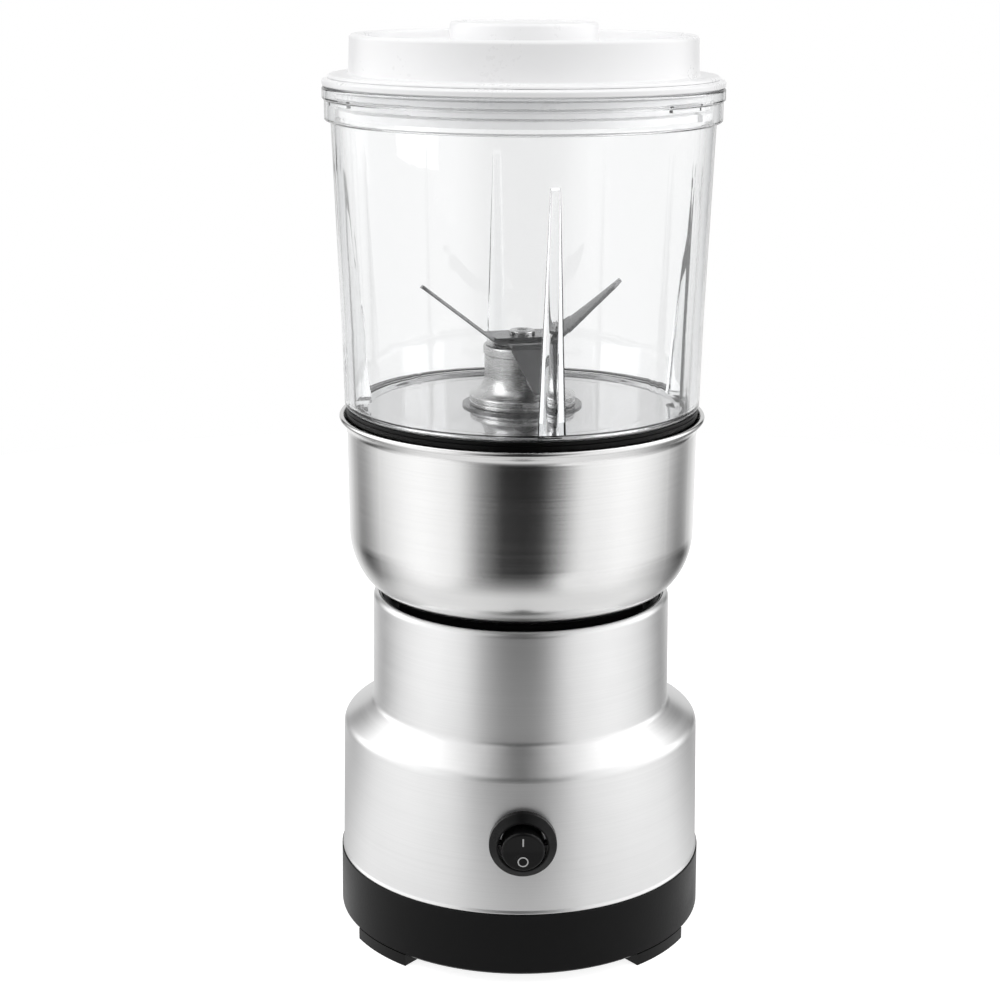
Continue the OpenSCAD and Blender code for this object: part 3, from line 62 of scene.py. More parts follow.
LID_Z, FLANGE_TOP, RING_TOP, MOAT_Z, KNOB_TOP = 229.5, 232.3, 242.3, 239.4, 245.4
LID_R, LID_RING_R, KNOB_R = 51.9, 44.75, 19.1
SKIRT_R, SKIRT_IN_R, SKIRT_Z = 48.6, 46.4, 222.0
PLATE_Z, PLATE_R, STAND_Z, STAND_TOP = 145.6, 43.2, 146.1, 162.3
SWITCH_Z, BEZEL_Y, PIVOT_Y = 40.3, -52.196, -48.496
BEZEL_R, BEZEL_HOLE_R, ROCKER_R, ROCKER_H = 8.8, 6.45, 5.65, 5.3
ROCKER_FOLD, ROCKER_TILT = 5.0, 8.5

# ---- camera -----------------------------------------------------------------------------

CAMERA_PLACE = (-0.00932, -0.53395, 0.26148)
CAMERA_TURN, CAMERA_DOWN, CAMERA_ROLL = math.radians(-1.0), math.radians(90.0 - 14.96), 0.0057

camera_data = bpy.data.cameras.new("camera")
camera_data.sensor_width = 36.0
camera_data.lens = 73.27
camera_data.shift_x = -0.0215
camera_data.clip_start, camera_data.clip_end = 0.01, 50.0
camera = bpy.data.objects.new("camera", camera_data)
bpy.context.scene.collection.objects.link(camera)
camera.matrix_world = (
    Matrix.Translation(CAMERA_PLACE)
    @ Matrix.Rotation(CAMERA_TURN, 4, "Z")
    @ Matrix.Rotation(CAMERA_DOWN, 4, "X")
    @ Matrix.Rotation(CAMERA_ROLL, 4, "Z")
)
bpy.context.scene.camera = camera
bpy.context.scene.view_settings.view_transform = "Standard"

# ---- node helpers -----------------------------------------------------------------------

FLOAT = "NodeSocketFloat"


def node(tree, kind, **settings):
    made = tree.nodes.new(kind)
    for name, value in settings.items():
        setattr(made, name, value)
    return made


def math_node(tree, what, a, b=0.5, c=0.5, clamp=False):
    made = node(tree, "ShaderNodeMath", operation=what, use_clamp=clamp)
    for i, value in enumerate((a, b, c)):
        if isinstance(value, (int, float)):
            made.inputs[i].default_value = value
        else:
            tree.links.new(value, made.inputs[i])
    return made.outputs[0]


def ramp(tree, value, low, high, to_low=0.0, to_high=1.0, smooth=False):
    """Maps a value that runs from low to high onto the range from to_low to to_high."""
    made = node(tree, "ShaderNodeMapRange")
    made.interpolation_type = "SMOOTHSTEP" if smooth else "LINEAR"
    tree.links.new(value, made.inputs["Value"])
    for name, number in (("From Min", low), ("From Max", high), ("To Min", to_low), ("To Max", to_high)):
        if isinstance(number, (int, float)):
            made.inputs[name].default_value = number
        else:
            tree.links.new(number, made.inputs[name])
    return made.outputs["Result"]


def new_group(name, ins, outs):
    """A shader node group, with inputs as (name, value) and outputs as names, all of them numbers."""
    tree = bpy.data.node_groups.new(name, "ShaderNodeTree")
    for label, value in ins:
        tree.interface.new_socket(label, in_out="INPUT", socket_type=FLOAT).default_value = value
    for label in outs:
        tree.interface.new_socket(label, in_out="OUTPUT", socket_type=FLOAT)
    return tree, node(tree, "NodeGroupInput"), node(tree, "NodeGroupOutput")


def group(tree, what, **values):
    """A node group placed in a material, with its own values."""
    made = node(tree, "ShaderNodeGroup", node_tree=what)
    for name, value in values.items():
        made.inputs[name].default_value = value
    return made


def noise(tree, vector, scale, detail=2.0, rough=0.5):
    made = node(tree, "ShaderNodeTexNoise", noise_dimensions="3D")
    tree.links.new(vector, made.inputs["Vector"])
    if isinstance(scale, (int, float)):
        made.inputs["Scale"].default_value = scale
    else:
        tree.links.new(scale, made.inputs["Scale"])
    made.inputs["Detail"].default_value = detail
    made.inputs["Roughness"].default_value = rough
    return made.outputs["Fac"]


AXIS_CORE = 0.0005


def round_the_axis(tree, turns, lines):
    """Object coordinates wrapped round the vertical axis: turns along the circle, lines up and out."""
    place = node(tree, "ShaderNodeTexCoord").outputs["Object"]
    parts = node(tree, "ShaderNodeSeparateXYZ")
    tree.links.new(place, parts.inputs[0])
    x, y, z = parts.outputs
    length = math_node(tree, "SQRT", math_node(tree, "ADD", math_node(tree, "MULTIPLY", x, x),
                                               math_node(tree, "MULTIPLY", y, y)))
    safe = math_node(tree, "MAXIMUM", length, AXIS_CORE)
    out = node(tree, "ShaderNodeCombineXYZ")
    # a circle of constant radius closes on itself, so the grain has no seam
    for way, socket in ((x, 0), (y, 1)):
        tree.links.new(math_node(tree, "MULTIPLY", math_node(tree, "DIVIDE", way, safe), turns),
                       out.inputs[socket])
    up = math_node(tree, "ADD", math_node(tree, "MULTIPLY", z, lines),
                   math_node(tree, "MULTIPLY", length, lines))
    tree.links.new(up, out.inputs[2])
    return out.outputs[0]


FINE_SHARE, COARSE_SHARE, COARSE_TURNS, COARSE_LINES = 0.7, 0.3, 0.5, 0.16
BRUSHED_SHADE, BRUSHED_ROUGH = 0.16, 0.22


def make_brushed():
    """Fine lines round the axis: a colour factor, a roughness shift and a height."""
    tree, ins, outs = new_group("brushed_lines", [("Turns", 2.0), ("Lines", 3000.0), ("Depth", 1.0)],
                                ["Shade", "Roughness", "Height"])
    turns, lines = ins.outputs["Turns"], ins.outputs["Lines"]
    fine = noise(tree, round_the_axis(tree, turns, lines), 1.0, 2.0, 0.6)
    wide = round_the_axis(tree, math_node(tree, "MULTIPLY", turns, COARSE_TURNS),
                          math_node(tree, "MULTIPLY", lines, COARSE_LINES))
    coarse = noise(tree, wide, 1.0, 3.0, 0.6)
    both = math_node(tree, "ADD", math_node(tree, "MULTIPLY", fine, FINE_SHARE),
                     math_node(tree, "MULTIPLY", coarse, COARSE_SHARE))
    deep = math_node(tree, "MULTIPLY", math_node(tree, "SUBTRACT", both, 0.5), ins.outputs["Depth"])
    tree.links.new(math_node(tree, "ADD", 1.0, math_node(tree, "MULTIPLY", deep, BRUSHED_SHADE)),
                   outs.inputs["Shade"])
    tree.links.new(math_node(tree, "MULTIPLY", deep, BRUSHED_ROUGH), outs.inputs["Roughness"])
    tree.links.new(deep, outs.inputs["Height"])
    return tree


CLOUD_START, CLOUD_END = 0.8, 0.85


def make_smudges():
    """Slow clouds of handling and dust over a surface, from 0 to 1."""
    tree, ins, outs = new_group("handling_clouds", [("Scale", 40.0), ("Cover", 0.5)], ["Mask"])
    place = node(tree, "ShaderNodeTexCoord").outputs["Object"]
    cloud = noise(tree, place, ins.outputs["Scale"], 4.0, 0.55)
    low = math_node(tree, "SUBTRACT", 1.0, ins.outputs["Cover"])
    start = math_node(tree, "MULTIPLY", low, CLOUD_START)
    tree.links.new(ramp(tree, cloud, start, CLOUD_END, smooth=True), outs.inputs["Mask"])
    return tree


SLOW_SCALE, FINE_ROUGH, SLOW_ROUGH = 0.04, 0.1, 0.18


def make_moulded():
    """The fine skin of a moulded or cast piece: a height, and a roughness shift."""
    tree, ins, outs = new_group("moulded_skin", [("Scale", 1500.0), ("Depth", 1.0)],
                                ["Height", "Roughness"])
    place = node(tree, "ShaderNodeTexCoord").outputs["Object"]
    fine = noise(tree, place, ins.outputs["Scale"], 2.0, 0.5)
    slow = noise(tree, place, math_node(tree, "MULTIPLY", ins.outputs["Scale"], SLOW_SCALE), 3.0, 0.5)
    deep = math_node(tree, "MULTIPLY", math_node(tree, "SUBTRACT", fine, 0.5), ins.outputs["Depth"])
    uneven = math_node(tree, "MULTIPLY", math_node(tree, "SUBTRACT", slow, 0.5), SLOW_ROUGH)
    tree.links.new(deep, outs.inputs["Height"])
    tree.links.new(math_node(tree, "ADD", math_node(tree, "MULTIPLY", deep, FINE_ROUGH), uneven),
                   outs.inputs["Roughness"])
    return tree


WEAR_RUN, WEAR_SCALE, WEAR_LOW, WEAR_HIGH = 0.07, 420.0, 0.35, 0.7


def make_edge_wear():
    """Where an edge stands proud, broken up by noise, from 0 to 1."""
    tree, ins, outs = new_group("edge_wear", [("Start", 0.53), ("Amount", 1.0)], ["Mask"])
    edge = ramp(tree, node(tree, "ShaderNodeNewGeometry").outputs["Pointiness"], ins.outputs["Start"],
                math_node(tree, "ADD", ins.outputs["Start"], WEAR_RUN), smooth=True)
    place = node(tree, "ShaderNodeTexCoord").outputs["Object"]
    broken = ramp(tree, noise(tree, place, WEAR_SCALE, 3.0, 0.6), WEAR_LOW, WEAR_HIGH)
    worn = math_node(tree, "MULTIPLY", edge, broken)
    tree.links.new(math_node(tree, "MULTIPLY", worn, ins.outputs["Amount"], clamp=True),
                   outs.inputs["Mask"])
    return tree


BRUSHED, CLOUDS = make_brushed(), make_smudges()
MOULDED, WEAR = make_moulded(), make_edge_wear()


FINISH = {}


def finish_tree(name, colour, roughness, metallic=0.0, **constants):
    """A material kept in FINISH by its name, with its constant values on the shader's own sockets."""
    mat = FINISH[name] = bpy.data.materials.new(name)
    mat.use_nodes = True
    tree = mat.node_tree
    shader = tree.nodes["Principled BSDF"]
    shader.inputs["Base Color"].default_value = (*colour, 1.0)
    shader.inputs["Roughness"].default_value = roughness
    shader.inputs["Metallic"].default_value = metallic
    for label, value in constants.items():
        shader.inputs[label.replace("_", " ")].default_value = value
    mat.diffuse_color = (*colour, 1.0)
    return tree, shader


def bump(tree, shader, height, distance):
    made = node(tree, "ShaderNodeBump")
    made.inputs["Distance"].default_value = distance
    made.inputs["Strength"].default_value = 1.0
    tree.links.new(height, made.inputs["Height"])
    tree.links.new(made.outputs["Normal"], shader.inputs["Normal"])


def tint(tree, colour, factor):
    """colour times a factor that changes over the surface."""
    made = node(tree, "ShaderNodeMix", data_type="RGBA", blend_type="MULTIPLY")
    made.inputs["Factor"].default_value = 1.0
    made.inputs["A"].default_value = (*colour, 1.0)
    tree.links.new(factor, made.inputs["B"])
    return made.outputs["Result"]


def steel(name, colour, roughness, lines, turns, depth, anisotropic=0.0, smudge=0.0, height=1.2e-5,
          metallic=1.0):
    """A metal with a brushed or turned grain round the axis of the grinder."""
    tree, shader = finish_tree(name, colour, roughness, metallic, Anisotropic=anisotropic,
                               Anisotropic_Rotation=0.25)
    if anisotropic:
        way = node(tree, "ShaderNodeTangent", direction_type="RADIAL", axis="Z")
        tree.links.new(way.outputs[0], shader.inputs["Tangent"])
    grain = group(tree, BRUSHED, Turns=turns, Lines=lines, Depth=depth)
    shade = grain.outputs["Shade"]
    rough = math_node(tree, "ADD", roughness, grain.outputs["Roughness"], clamp=True)
    if smudge:
        mask = group(tree, CLOUDS, Scale=28.0, Cover=0.5).outputs["Mask"]
        shade = math_node(tree, "SUBTRACT", shade, math_node(tree, "MULTIPLY", mask, smudge))
        rough = math_node(tree, "ADD", rough, math_node(tree, "MULTIPLY", mask, smudge), clamp=True)
    tree.links.new(tint(tree, colour, shade), shader.inputs["Base Color"])
    tree.links.new(rough, shader.inputs["Roughness"])
    bump(tree, shader, grain.outputs["Height"], height)


WORN_GAIN, WORN_GREY, WORN_SHINE, CLOUD_SHADE = 3, 0.03, 0.12, 0.4


def moulded(name, colour, roughness, scale=1500.0, depth=1.0, height=1.0e-5, wear=0.0,
            metallic=0.0, clouds=0.1, **constants):
    """A moulded, cast or sintered material, with paler and shinier edges where it is worn."""
    tree, shader = finish_tree(name, colour, roughness, metallic, **constants)
    skin = group(tree, MOULDED, Scale=scale, Depth=depth)
    mask = group(tree, CLOUDS, Scale=55.0, Cover=0.45).outputs["Mask"]
    rough = math_node(tree, "ADD", roughness, skin.outputs["Roughness"])
    rough = math_node(tree, "ADD", rough, math_node(tree, "MULTIPLY", mask, clouds), clamp=True)
    shade = math_node(tree, "SUBTRACT", 1.0, math_node(tree, "MULTIPLY", mask, clouds * CLOUD_SHADE))
    paint = tint(tree, colour, shade)
    if wear:
        worn = group(tree, WEAR, Amount=wear).outputs["Mask"]
        mixed = node(tree, "ShaderNodeMix", data_type="RGBA")
        tree.links.new(worn, mixed.inputs["Factor"])
        tree.links.new(paint, mixed.inputs["A"])
        mixed.inputs["B"].default_value = (*[min(1.0, c * WORN_GAIN + WORN_GREY) for c in colour], 1.0)
        paint = mixed.outputs["Result"]
        rough = math_node(tree, "SUBTRACT", rough, math_node(tree, "MULTIPLY", worn, WORN_SHINE),
                          clamp=True)
    tree.links.new(paint, shader.inputs["Base Color"])
    tree.links.new(rough, shader.inputs["Roughness"])
    bump(tree, shader, skin.outputs["Height"], height)


SMOKE = (0.79, 0.81, 0.82, 1.0)


def clear(name, colour, roughness, ior, density):
    """A clear plastic with a slow ripple, which gets greyer the thicker it is."""
    tree, shader = finish_tree(name, colour, roughness, IOR=ior, Transmission_Weight=1.0)
    skin = group(tree, MOULDED, Scale=60.0, Depth=1.0)
    bump(tree, shader, skin.outputs["Height"], 2.0e-5)
    inside = node(tree, "ShaderNodeVolumeAbsorption")
    inside.inputs["Color"].default_value = SMOKE
    inside.inputs["Density"].default_value = density
    tree.links.new(inside.outputs[0], tree.nodes["Material Output"].inputs["Volume"])


# name, colour and roughness, then each kind's own values; lines and scale count features in a metre
steel("brushed_steel", (0.80, 0.798, 0.795), 0.15, lines=5200.0, turns=0.6, depth=0.9, anisotropic=0.5,
      smudge=0.04, height=6.0e-6)
steel("satin_steel", (0.82, 0.82, 0.82), 0.34, lines=5200.0, turns=0.6, depth=0.9, anisotropic=0.85,
      smudge=0.04, height=9.0e-6, metallic=0.93)
steel("polished_steel", (0.54, 0.54, 0.545), 0.07, lines=2600.0, turns=3.0, depth=0.4, smudge=0.05,
      height=6.0e-6)
steel("turned_steel", (0.5, 0.5, 0.5), 0.26, lines=2200.0, turns=1.5, depth=1.0, anisotropic=0.4,
      smudge=0.05)
steel("blade_steel", (0.1, 0.1, 0.102), 0.18, lines=1500.0, turns=6.0, depth=0.8, smudge=0.08)
steel("ground_steel", (0.66, 0.67, 0.68), 0.25, lines=2500.0, turns=2.0, depth=1.0, anisotropic=0.3)
steel("spring_steel", (0.5, 0.5, 0.51), 0.3, lines=2500.0, turns=2.0, depth=1.0)
steel("dark_steel", (0.12, 0.12, 0.122), 0.22, lines=2500.0, turns=2.0, depth=0.8)
moulded("zinc_steel", (0.62, 0.63, 0.65), 0.34, scale=900.0, metallic=1.0, clouds=0.2)
moulded("die_cast", (0.6, 0.61, 0.62), 0.45, scale=700.0, height=4.0e-5, metallic=1.0)
steel("lamination", (0.28, 0.29, 0.31), 0.45, lines=1600.0, turns=0.5, depth=2.5, height=6.0e-5)
steel("copper_wire", (0.72, 0.35, 0.16), 0.35, lines=900.0, turns=1.0, depth=3.0, height=1.2e-4)
steel("copper_bar", (0.75, 0.4, 0.2), 0.3, lines=2600.0, turns=1.0, depth=1.0)
moulded("brass", (0.78, 0.6, 0.28), 0.3, scale=900.0, metallic=1.0, clouds=0.2)
moulded("spring_bronze", (0.62, 0.44, 0.2), 0.28, scale=900.0, metallic=1.0)
moulded("sintered_bronze", (0.5, 0.36, 0.18), 0.5, scale=1800.0, depth=1.5, height=4.0e-5, metallic=1.0)
moulded("black_plastic", (0.0065, 0.0065, 0.0067), 0.32, scale=1300.0, depth=1.0, height=1.6e-5, wear=0.2,
        IOR=1.2)
moulded("switch_plastic", (0.002, 0.002, 0.0021), 0.3, scale=2400.0, depth=0.6, height=6.0e-6, wear=0.2,
        IOR=1.3)
moulded("black_rubber", (0.0015, 0.0015, 0.0015), 0.34, scale=1200.0, depth=1.0, height=1.2e-5, IOR=1.25)
moulded("wire_cover", (0.45, 0.07, 0.05), 0.45, scale=700.0)
moulded("carbon", (0.06, 0.06, 0.065), 0.7, scale=2600.0, depth=1.5, height=3.0e-5)
moulded("pale_plastic", (0.78, 0.77, 0.72), 0.4, scale=1100.0)
moulded("fibre", (0.62, 0.52, 0.34), 0.7, scale=2200.0, depth=2.0, height=4.0e-5)
moulded("white_paint", (0.5, 0.5, 0.5), 0.5, scale=3000.0, depth=1.0, height=8.0e-6)
moulded("white_plastic", (0.86, 0.86, 0.865), 0.3, scale=900.0, depth=0.7, height=4.0e-6, clouds=0.04)
clear("clear_plastic", (1.0, 1.0, 1.0), 0.0, ior=1.54, density=62.0)
moulded("clear_rubber", (0.78, 0.79, 0.8), 0.4, scale=1200.0)

# ---- mesh helpers, in millimetres -------------------------------------------------------

FILLET_STEPS, FILLET_TURN, HOLD = 7, 1.5, 0.12
SHARP, SAME_POINT, NO_LENGTH = 32.0, 1e-4, 1e-5


def fade(x, start, end):
    """0 before start and 1 after end, with a straight slope between them. The end may be the lower one."""
    return max(0.0, min(1.0, (x - start) / (end - start)))


def rounded(path, closed=False):
    """A line of (r, z, fillet) corners as points, with its corners rounded and held on both sides."""
    out = []
    count = len(path)
    for i, corner in enumerate(path):
        p = Vector(corner[:2])
        radius = corner[2] if len(corner) > 2 else 0.0
        if not closed and i in (0, count - 1) or radius <= 0.0:
            out.append((p.x, p.y))
            continue
        a = (Vector(path[i - 1][:2]) - p).normalized()
        b = (Vector(path[(i + 1) % count][:2]) - p).normalized()
        half = math.acos(max(-1.0, min(1.0, a.dot(b)))) / 2
        run = radius / math.tan(half)
        centre = p + (a + b).normalized() * radius / math.sin(half)
        start, end = p + a * run, p + b * run
        u, v = start - centre, end - centre
        turn = math.atan2(u.x * v.y - u.y * v.x, u.dot(v))
        steps = max(3, int(FILLET_STEPS * abs(turn) / FILLET_TURN) + 2)
        hold = min(HOLD, radius * 0.5)
        out.append(tuple(start + a * hold))
        for k in range(steps + 1):
            s, c = math.sin(turn * k / steps), math.cos(turn * k / steps)
            q = centre + Vector((u.x * c - u.y * s, u.x * s + u.y * c))
            out.append((q.x, q.y))
        out.append(tuple(end + b * hold))
    return out


def split_long(points, most=4.0):
    """The same line with its long parts cut into equal pieces."""
    out = [points[0]]
    for p, q in zip(points, points[1:]):
        n = max(1, math.ceil(math.dist(p, q) / most))
        out += [(p[0] + (q[0] - p[0]) * k / n, p[1] + (q[1] - p[1]) * k / n) for k in range(1, n + 1)]
    return out


def sharpen(bm, limit):
    """Smooth faces, with the edges that turn by more than limit degrees kept sharp."""
    for face in bm.faces:
        face.smooth = True
    for edge in bm.edges:
        edge.smooth = len(edge.link_faces) == 2 and edge.calc_face_angle(0.0) < math.radians(limit)


def link_mesh(name, bm, material):
    """The mesh as an object of the scene."""
    mesh = bpy.data.meshes.new(name)
    bm.to_mesh(mesh)
    bm.free()
    mesh.materials.append(material)
    made = bpy.data.objects.new(name, mesh)
    bpy.context.scene.collection.objects.link(made)
    return made


def piece(name, bm, body, slot, stands_for, limit=SHARP, matrix=None, finish=None):
    """The finished mesh as an object of the grinder, riding on its body."""
    bmesh.ops.remove_doubles(bm, verts=bm.verts, dist=SAME_POINT)
    bmesh.ops.dissolve_degenerate(bm, dist=NO_LENGTH, edges=bm.edges)
    bmesh.ops.recalc_face_normals(bm, faces=bm.faces)
    sharpen(bm, limit)
    if matrix is not None:
        bmesh.ops.transform(bm, matrix=matrix, verts=bm.verts)
    bmesh.ops.scale(bm, vec=(MM, MM, MM), verts=bm.verts)
    made = link_mesh(name, bm, FINISH[finish or slot])
    weights = made.modifiers.new("even_normals", "WEIGHTED_NORMAL")
    weights.keep_sharp = True
    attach(made, body)
    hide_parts(*stands_for)


def near(az, places):
    """Signed degrees from az to the nearest of the places."""
    offs = [(az - a + 180.0) % 360.0 - 180.0 for a in places]
    return min(offs, key=abs)


def columns(count=192, extra=()):
    """Directions round the axis, in degrees from the front, with more of them where they are needed."""
    places = {round(360.0 * i / count, 4) for i in range(count)}
    for middle, span, steps in extra:
        close = {round((middle - span + 2 * span * k / steps) % 360.0, 4) for k in range(steps + 1)}
        places = {a for a in places if abs(near(a, [middle])) > span} | close
    return sorted(places)


def join_rings(bm, rings):
    """Quads between each ring of points and the next."""
    for low, high in zip(rings, rings[1:]):
        for i in range(len(low)):
            j = (i + 1) % len(low)
            bm.faces.new((low[i], low[j], high[j], high[i]))


def turned(path, places=None, shift=None, closed=True, slide=None):
    """A surface turned round the axis from a line of (r, z) points.

    slide moves a point round the axis, and shift moves it in or out."""
    bm = bmesh.new()
    places = places or columns()
    rings = []
    for k, (r, z) in enumerate(path):
        ring = []
        for az in places:
            az = slide(az, r, z, k) if slide else az
            out = r + (shift(az, r, z, k) if shift and r > 0 else 0.0)
            a = math.radians(az)
            ring.append(bm.verts.new((out * math.sin(a), -out * math.cos(a), z)))
        rings.append(ring)
    for k in range(len(path) if closed else len(path) - 1):
        after = (k + 1) % len(path)
        if path[k][0] > 0 or path[after][0] > 0:
            join_rings(bm, [rings[k], rings[after]])
    return bm


def oval(cx, cz, rx, rz, a0, a1, steps=24):
    """Points of an ellipse from the angle a0 to the angle a1, in degrees."""
    angles = [math.radians(a0 + (a1 - a0) * k / steps) for k in range(steps + 1)]
    return [(cx + rx * math.cos(a), cz + rz * math.sin(a)) for a in angles]


# ---- steel body -------------------------------------------------------------------------

HEM_OUT, HEM_H, HEM_RUN = 0.28, 0.25, 0.9
SHOULDER_R, NECK_BORE_R, NECK_BORE_H, NECK_WALL = 48.88, 38.35, 4.0, 1.15

body_line = rounded([
    (BODY_R - SHEET, BODY_LOW, 0), (BODY_R + HEM_OUT, BODY_LOW, 0.08),
    (BODY_R + HEM_OUT, BODY_LOW + HEM_H, 0.1), (BODY_R - 0.02, BODY_LOW + HEM_RUN, 0.4),
    (SHOULDER_R, SHOULDER_Z, 2.6), (NECK_R, CREASE_Z, 1.8), (NECK_RIM_R, NECK_TOP, 1.5),
    (NECK_BORE_R, NECK_TOP, 0.5), (NECK_BORE_R, NECK_TOP - NECK_BORE_H, 0.2),
    (NECK_BORE_R + NECK_WALL, NECK_TOP - NECK_BORE_H, 0.2), (NECK_R - SHEET - 0.02, CREASE_Z + 0.4, 2.6),
    (SHOULDER_R - SHEET, SHOULDER_Z - 0.6, 1.8), (BODY_R - SHEET, BODY_LOW, 0)
])
piece("steel_body", turned(split_long(body_line)[:-1]), "base", "brushed_steel", ["body_shell"],
      finish="satin_steel")

# ---- steel bowl -------------------------------------------------------------------------

BOWL_HOLE_R, BOWL_FLAT_R, CORNER_W, CORNER_H = 29.4, 32.3, 14.0, 17.5
BOWL_FLARE, WALL_IN = 0.25, BOWL_SHEET + 0.02
KEY_PLACES, KEY_HALF_W, KEY_DEEP, KEY_END_R = (60, 180, 300), 3.2, 1.6, 31.2
KEY_SPAN, KEY_COLUMNS = 7.5, 40


def bowl_corner(inset):
    """The big soft corner between the bowl's floor and wall, inset by the sheet for its inside."""
    return oval(BOWL_R - CORNER_W, BOWL_Z + CORNER_H, CORNER_W - inset, CORNER_H - inset, -90, 0)


def key_notch(az, r, z, k):
    """The notches in the edge of the bowl's hole, where the key blocks stand."""
    if r >= KEY_END_R:
        return 0.0
    return KEY_DEEP if r * math.sin(math.radians(abs(near(az, KEY_PLACES)))) < KEY_HALF_W else 0.0


wall_top = BOWL_R + BOWL_FLARE
bowl_path = (
    [(BOWL_HOLE_R, BOWL_Z + BOWL_SHEET), (BOWL_HOLE_R, BOWL_Z)]
    + split_long([(KEY_END_R, BOWL_Z), (BOWL_FLAT_R, BOWL_Z)] + bowl_corner(0.0)
                 + rounded([(BOWL_R, BOWL_Z + CORNER_H + 0.1, 0), (wall_top, BOWL_TOP - 3.1, 2.5),
                            (BOWL_LIP_R - 0.1, BOWL_TOP - 1.62, 0)]))
    + oval(BOWL_LIP_R, BOWL_TOP - BEAD_R, BEAD_R, BEAD_R, -95, 140, 18)
    + rounded([(BOWL_LIP_R - 1.02, BOWL_TOP - BEAD_R, 0), (wall_top - WALL_IN, BOWL_TOP - 2.0, 1.2),
               (wall_top - WALL_IN, BOWL_TOP - 3.6, 0)])
    + split_long([(BOWL_R - BOWL_SHEET, BOWL_Z + CORNER_H + 0.1)] + bowl_corner(BOWL_SHEET)[::-1]
                 + [(BOWL_FLAT_R, BOWL_Z + BOWL_SHEET), (KEY_END_R, BOWL_Z + BOWL_SHEET)])
)
piece("steel_bowl_shell",
      turned(bowl_path, columns(extra=[(a, KEY_SPAN, KEY_COLUMNS) for a in KEY_PLACES]), key_notch),
      "bowl", "brushed_steel", ["steel_bowl"])

# ---- gasket under the cup ---------------------------------------------------------------

GASKET_IN_R, GASKET_R, GASKET_LOW, GASKET_TOP = 45.9, 46.95, 141.3, 145.9
NICK_Z, NICK_DEEP = 144.9, 0.25

gasket_path = rounded([
    (GASKET_IN_R, GASKET_LOW, 0.1), (GASKET_IN_R + 0.1, GASKET_LOW, 0.1),
    (GASKET_R - 0.4, GASKET_LOW + 1.4, 0.3), (GASKET_R, GASKET_LOW + 2.3, 0.3),
    (GASKET_R, NICK_Z - 0.15, 0.15), (GASKET_R - NICK_DEEP, NICK_Z - 0.05, 0.05),
    (GASKET_R - NICK_DEEP, NICK_Z + 0.05, 0.05), (GASKET_R, NICK_Z + 0.15, 0.15),
    (GASKET_R, GASKET_TOP, 0.4), (GASKET_IN_R, GASKET_TOP, 0.2)
], True)
piece("cup_gasket_ring", turned(gasket_path), "gasket", "black_rubber", ["cup_gasket"])

# ---- floor plate, blade stand -----------------------------------------------------------

PLATE_LOW, PLATE_HOLE_R, PLATE_EDGE_R, PLATE_RIM_H = 145.0, 8.05, PLATE_R - 0.3, 0.8
LINE_R, LINE_DEEP = 35.6, 0.1

plate_path = rounded([
    (PLATE_HOLE_R, PLATE_LOW, 0.0), (PLATE_EDGE_R, PLATE_LOW, 0.2),
    (PLATE_EDGE_R, PLATE_Z + PLATE_RIM_H, 0.3), (PLATE_R - 1.6, PLATE_Z + PLATE_RIM_H, 0.3),
    (PLATE_R - 2.3, PLATE_Z + 0.05, 0.4), (LINE_R + 0.4, PLATE_Z, 0.0),
    (LINE_R + 0.2, PLATE_Z - LINE_DEEP, 0.0), (LINE_R - 0.2, PLATE_Z - LINE_DEEP, 0.0),
    (LINE_R - 0.4, PLATE_Z, 0.0), (PLATE_HOLE_R, PLATE_Z, 0.0)
], True)
piece("floor_plate_disc", turned(plate_path), "bowl", "polished_steel", ["floor_plate"])

STAND_LOW, STAND_BORE_R, STEM_R, COLLAR_R = 125.8, 3.5, 8.0, 14.1
WAIST_R, HEAD_R, BUSH_R, BUSH_H, HEAD_STEP = 10.1, 10.4, 6.05, 13.3, 3.0
HOLLOW_W, HOLLOW_H, HOLLOW_Z = 3.4, 5.2, STAND_Z + 8.2

stand_path = (
    [(STAND_BORE_R, STAND_LOW), (STEM_R - 0.1, STAND_LOW), (STEM_R, STAND_LOW + 0.2), (STEM_R, STAND_Z)]
    + rounded([(COLLAR_R - 0.5, STAND_Z, 0), (COLLAR_R, STAND_Z, 0.25), (COLLAR_R, STAND_Z + 1.05, 0.25),
               (COLLAR_R - 0.35, STAND_Z + 1.2, 0.08), (COLLAR_R, STAND_Z + 1.35, 0.2),
               (COLLAR_R - 0.1, STAND_Z + 2.7, 0.5), (COLLAR_R - 0.9, STAND_Z + 3.0, 0)])
    + oval(WAIST_R + HOLLOW_W, HOLLOW_Z, HOLLOW_W, HOLLOW_H, -94, -180, 20)
    + rounded([(WAIST_R, STAND_Z + 10.0, 0), (WAIST_R, STAND_TOP - 2.9, 0.2),
               (HEAD_R, STAND_TOP - 2.6, 0.15), (HEAD_R, STAND_TOP, 0.7), (BUSH_R + 0.5, STAND_TOP, 0.3),
               (BUSH_R + 0.5, STAND_TOP - HEAD_STEP, 0), (BUSH_R, STAND_TOP - HEAD_STEP, 0),
               (BUSH_R, STAND_TOP - BUSH_H, 0), (STAND_BORE_R, STAND_TOP - BUSH_H, 0)])
)
piece("blade_stand_post", turned(stand_path, columns(128)), "bowl", "turned_steel", ["blade_stand"])

# ---- blades -----------------------------------------------------------------------------

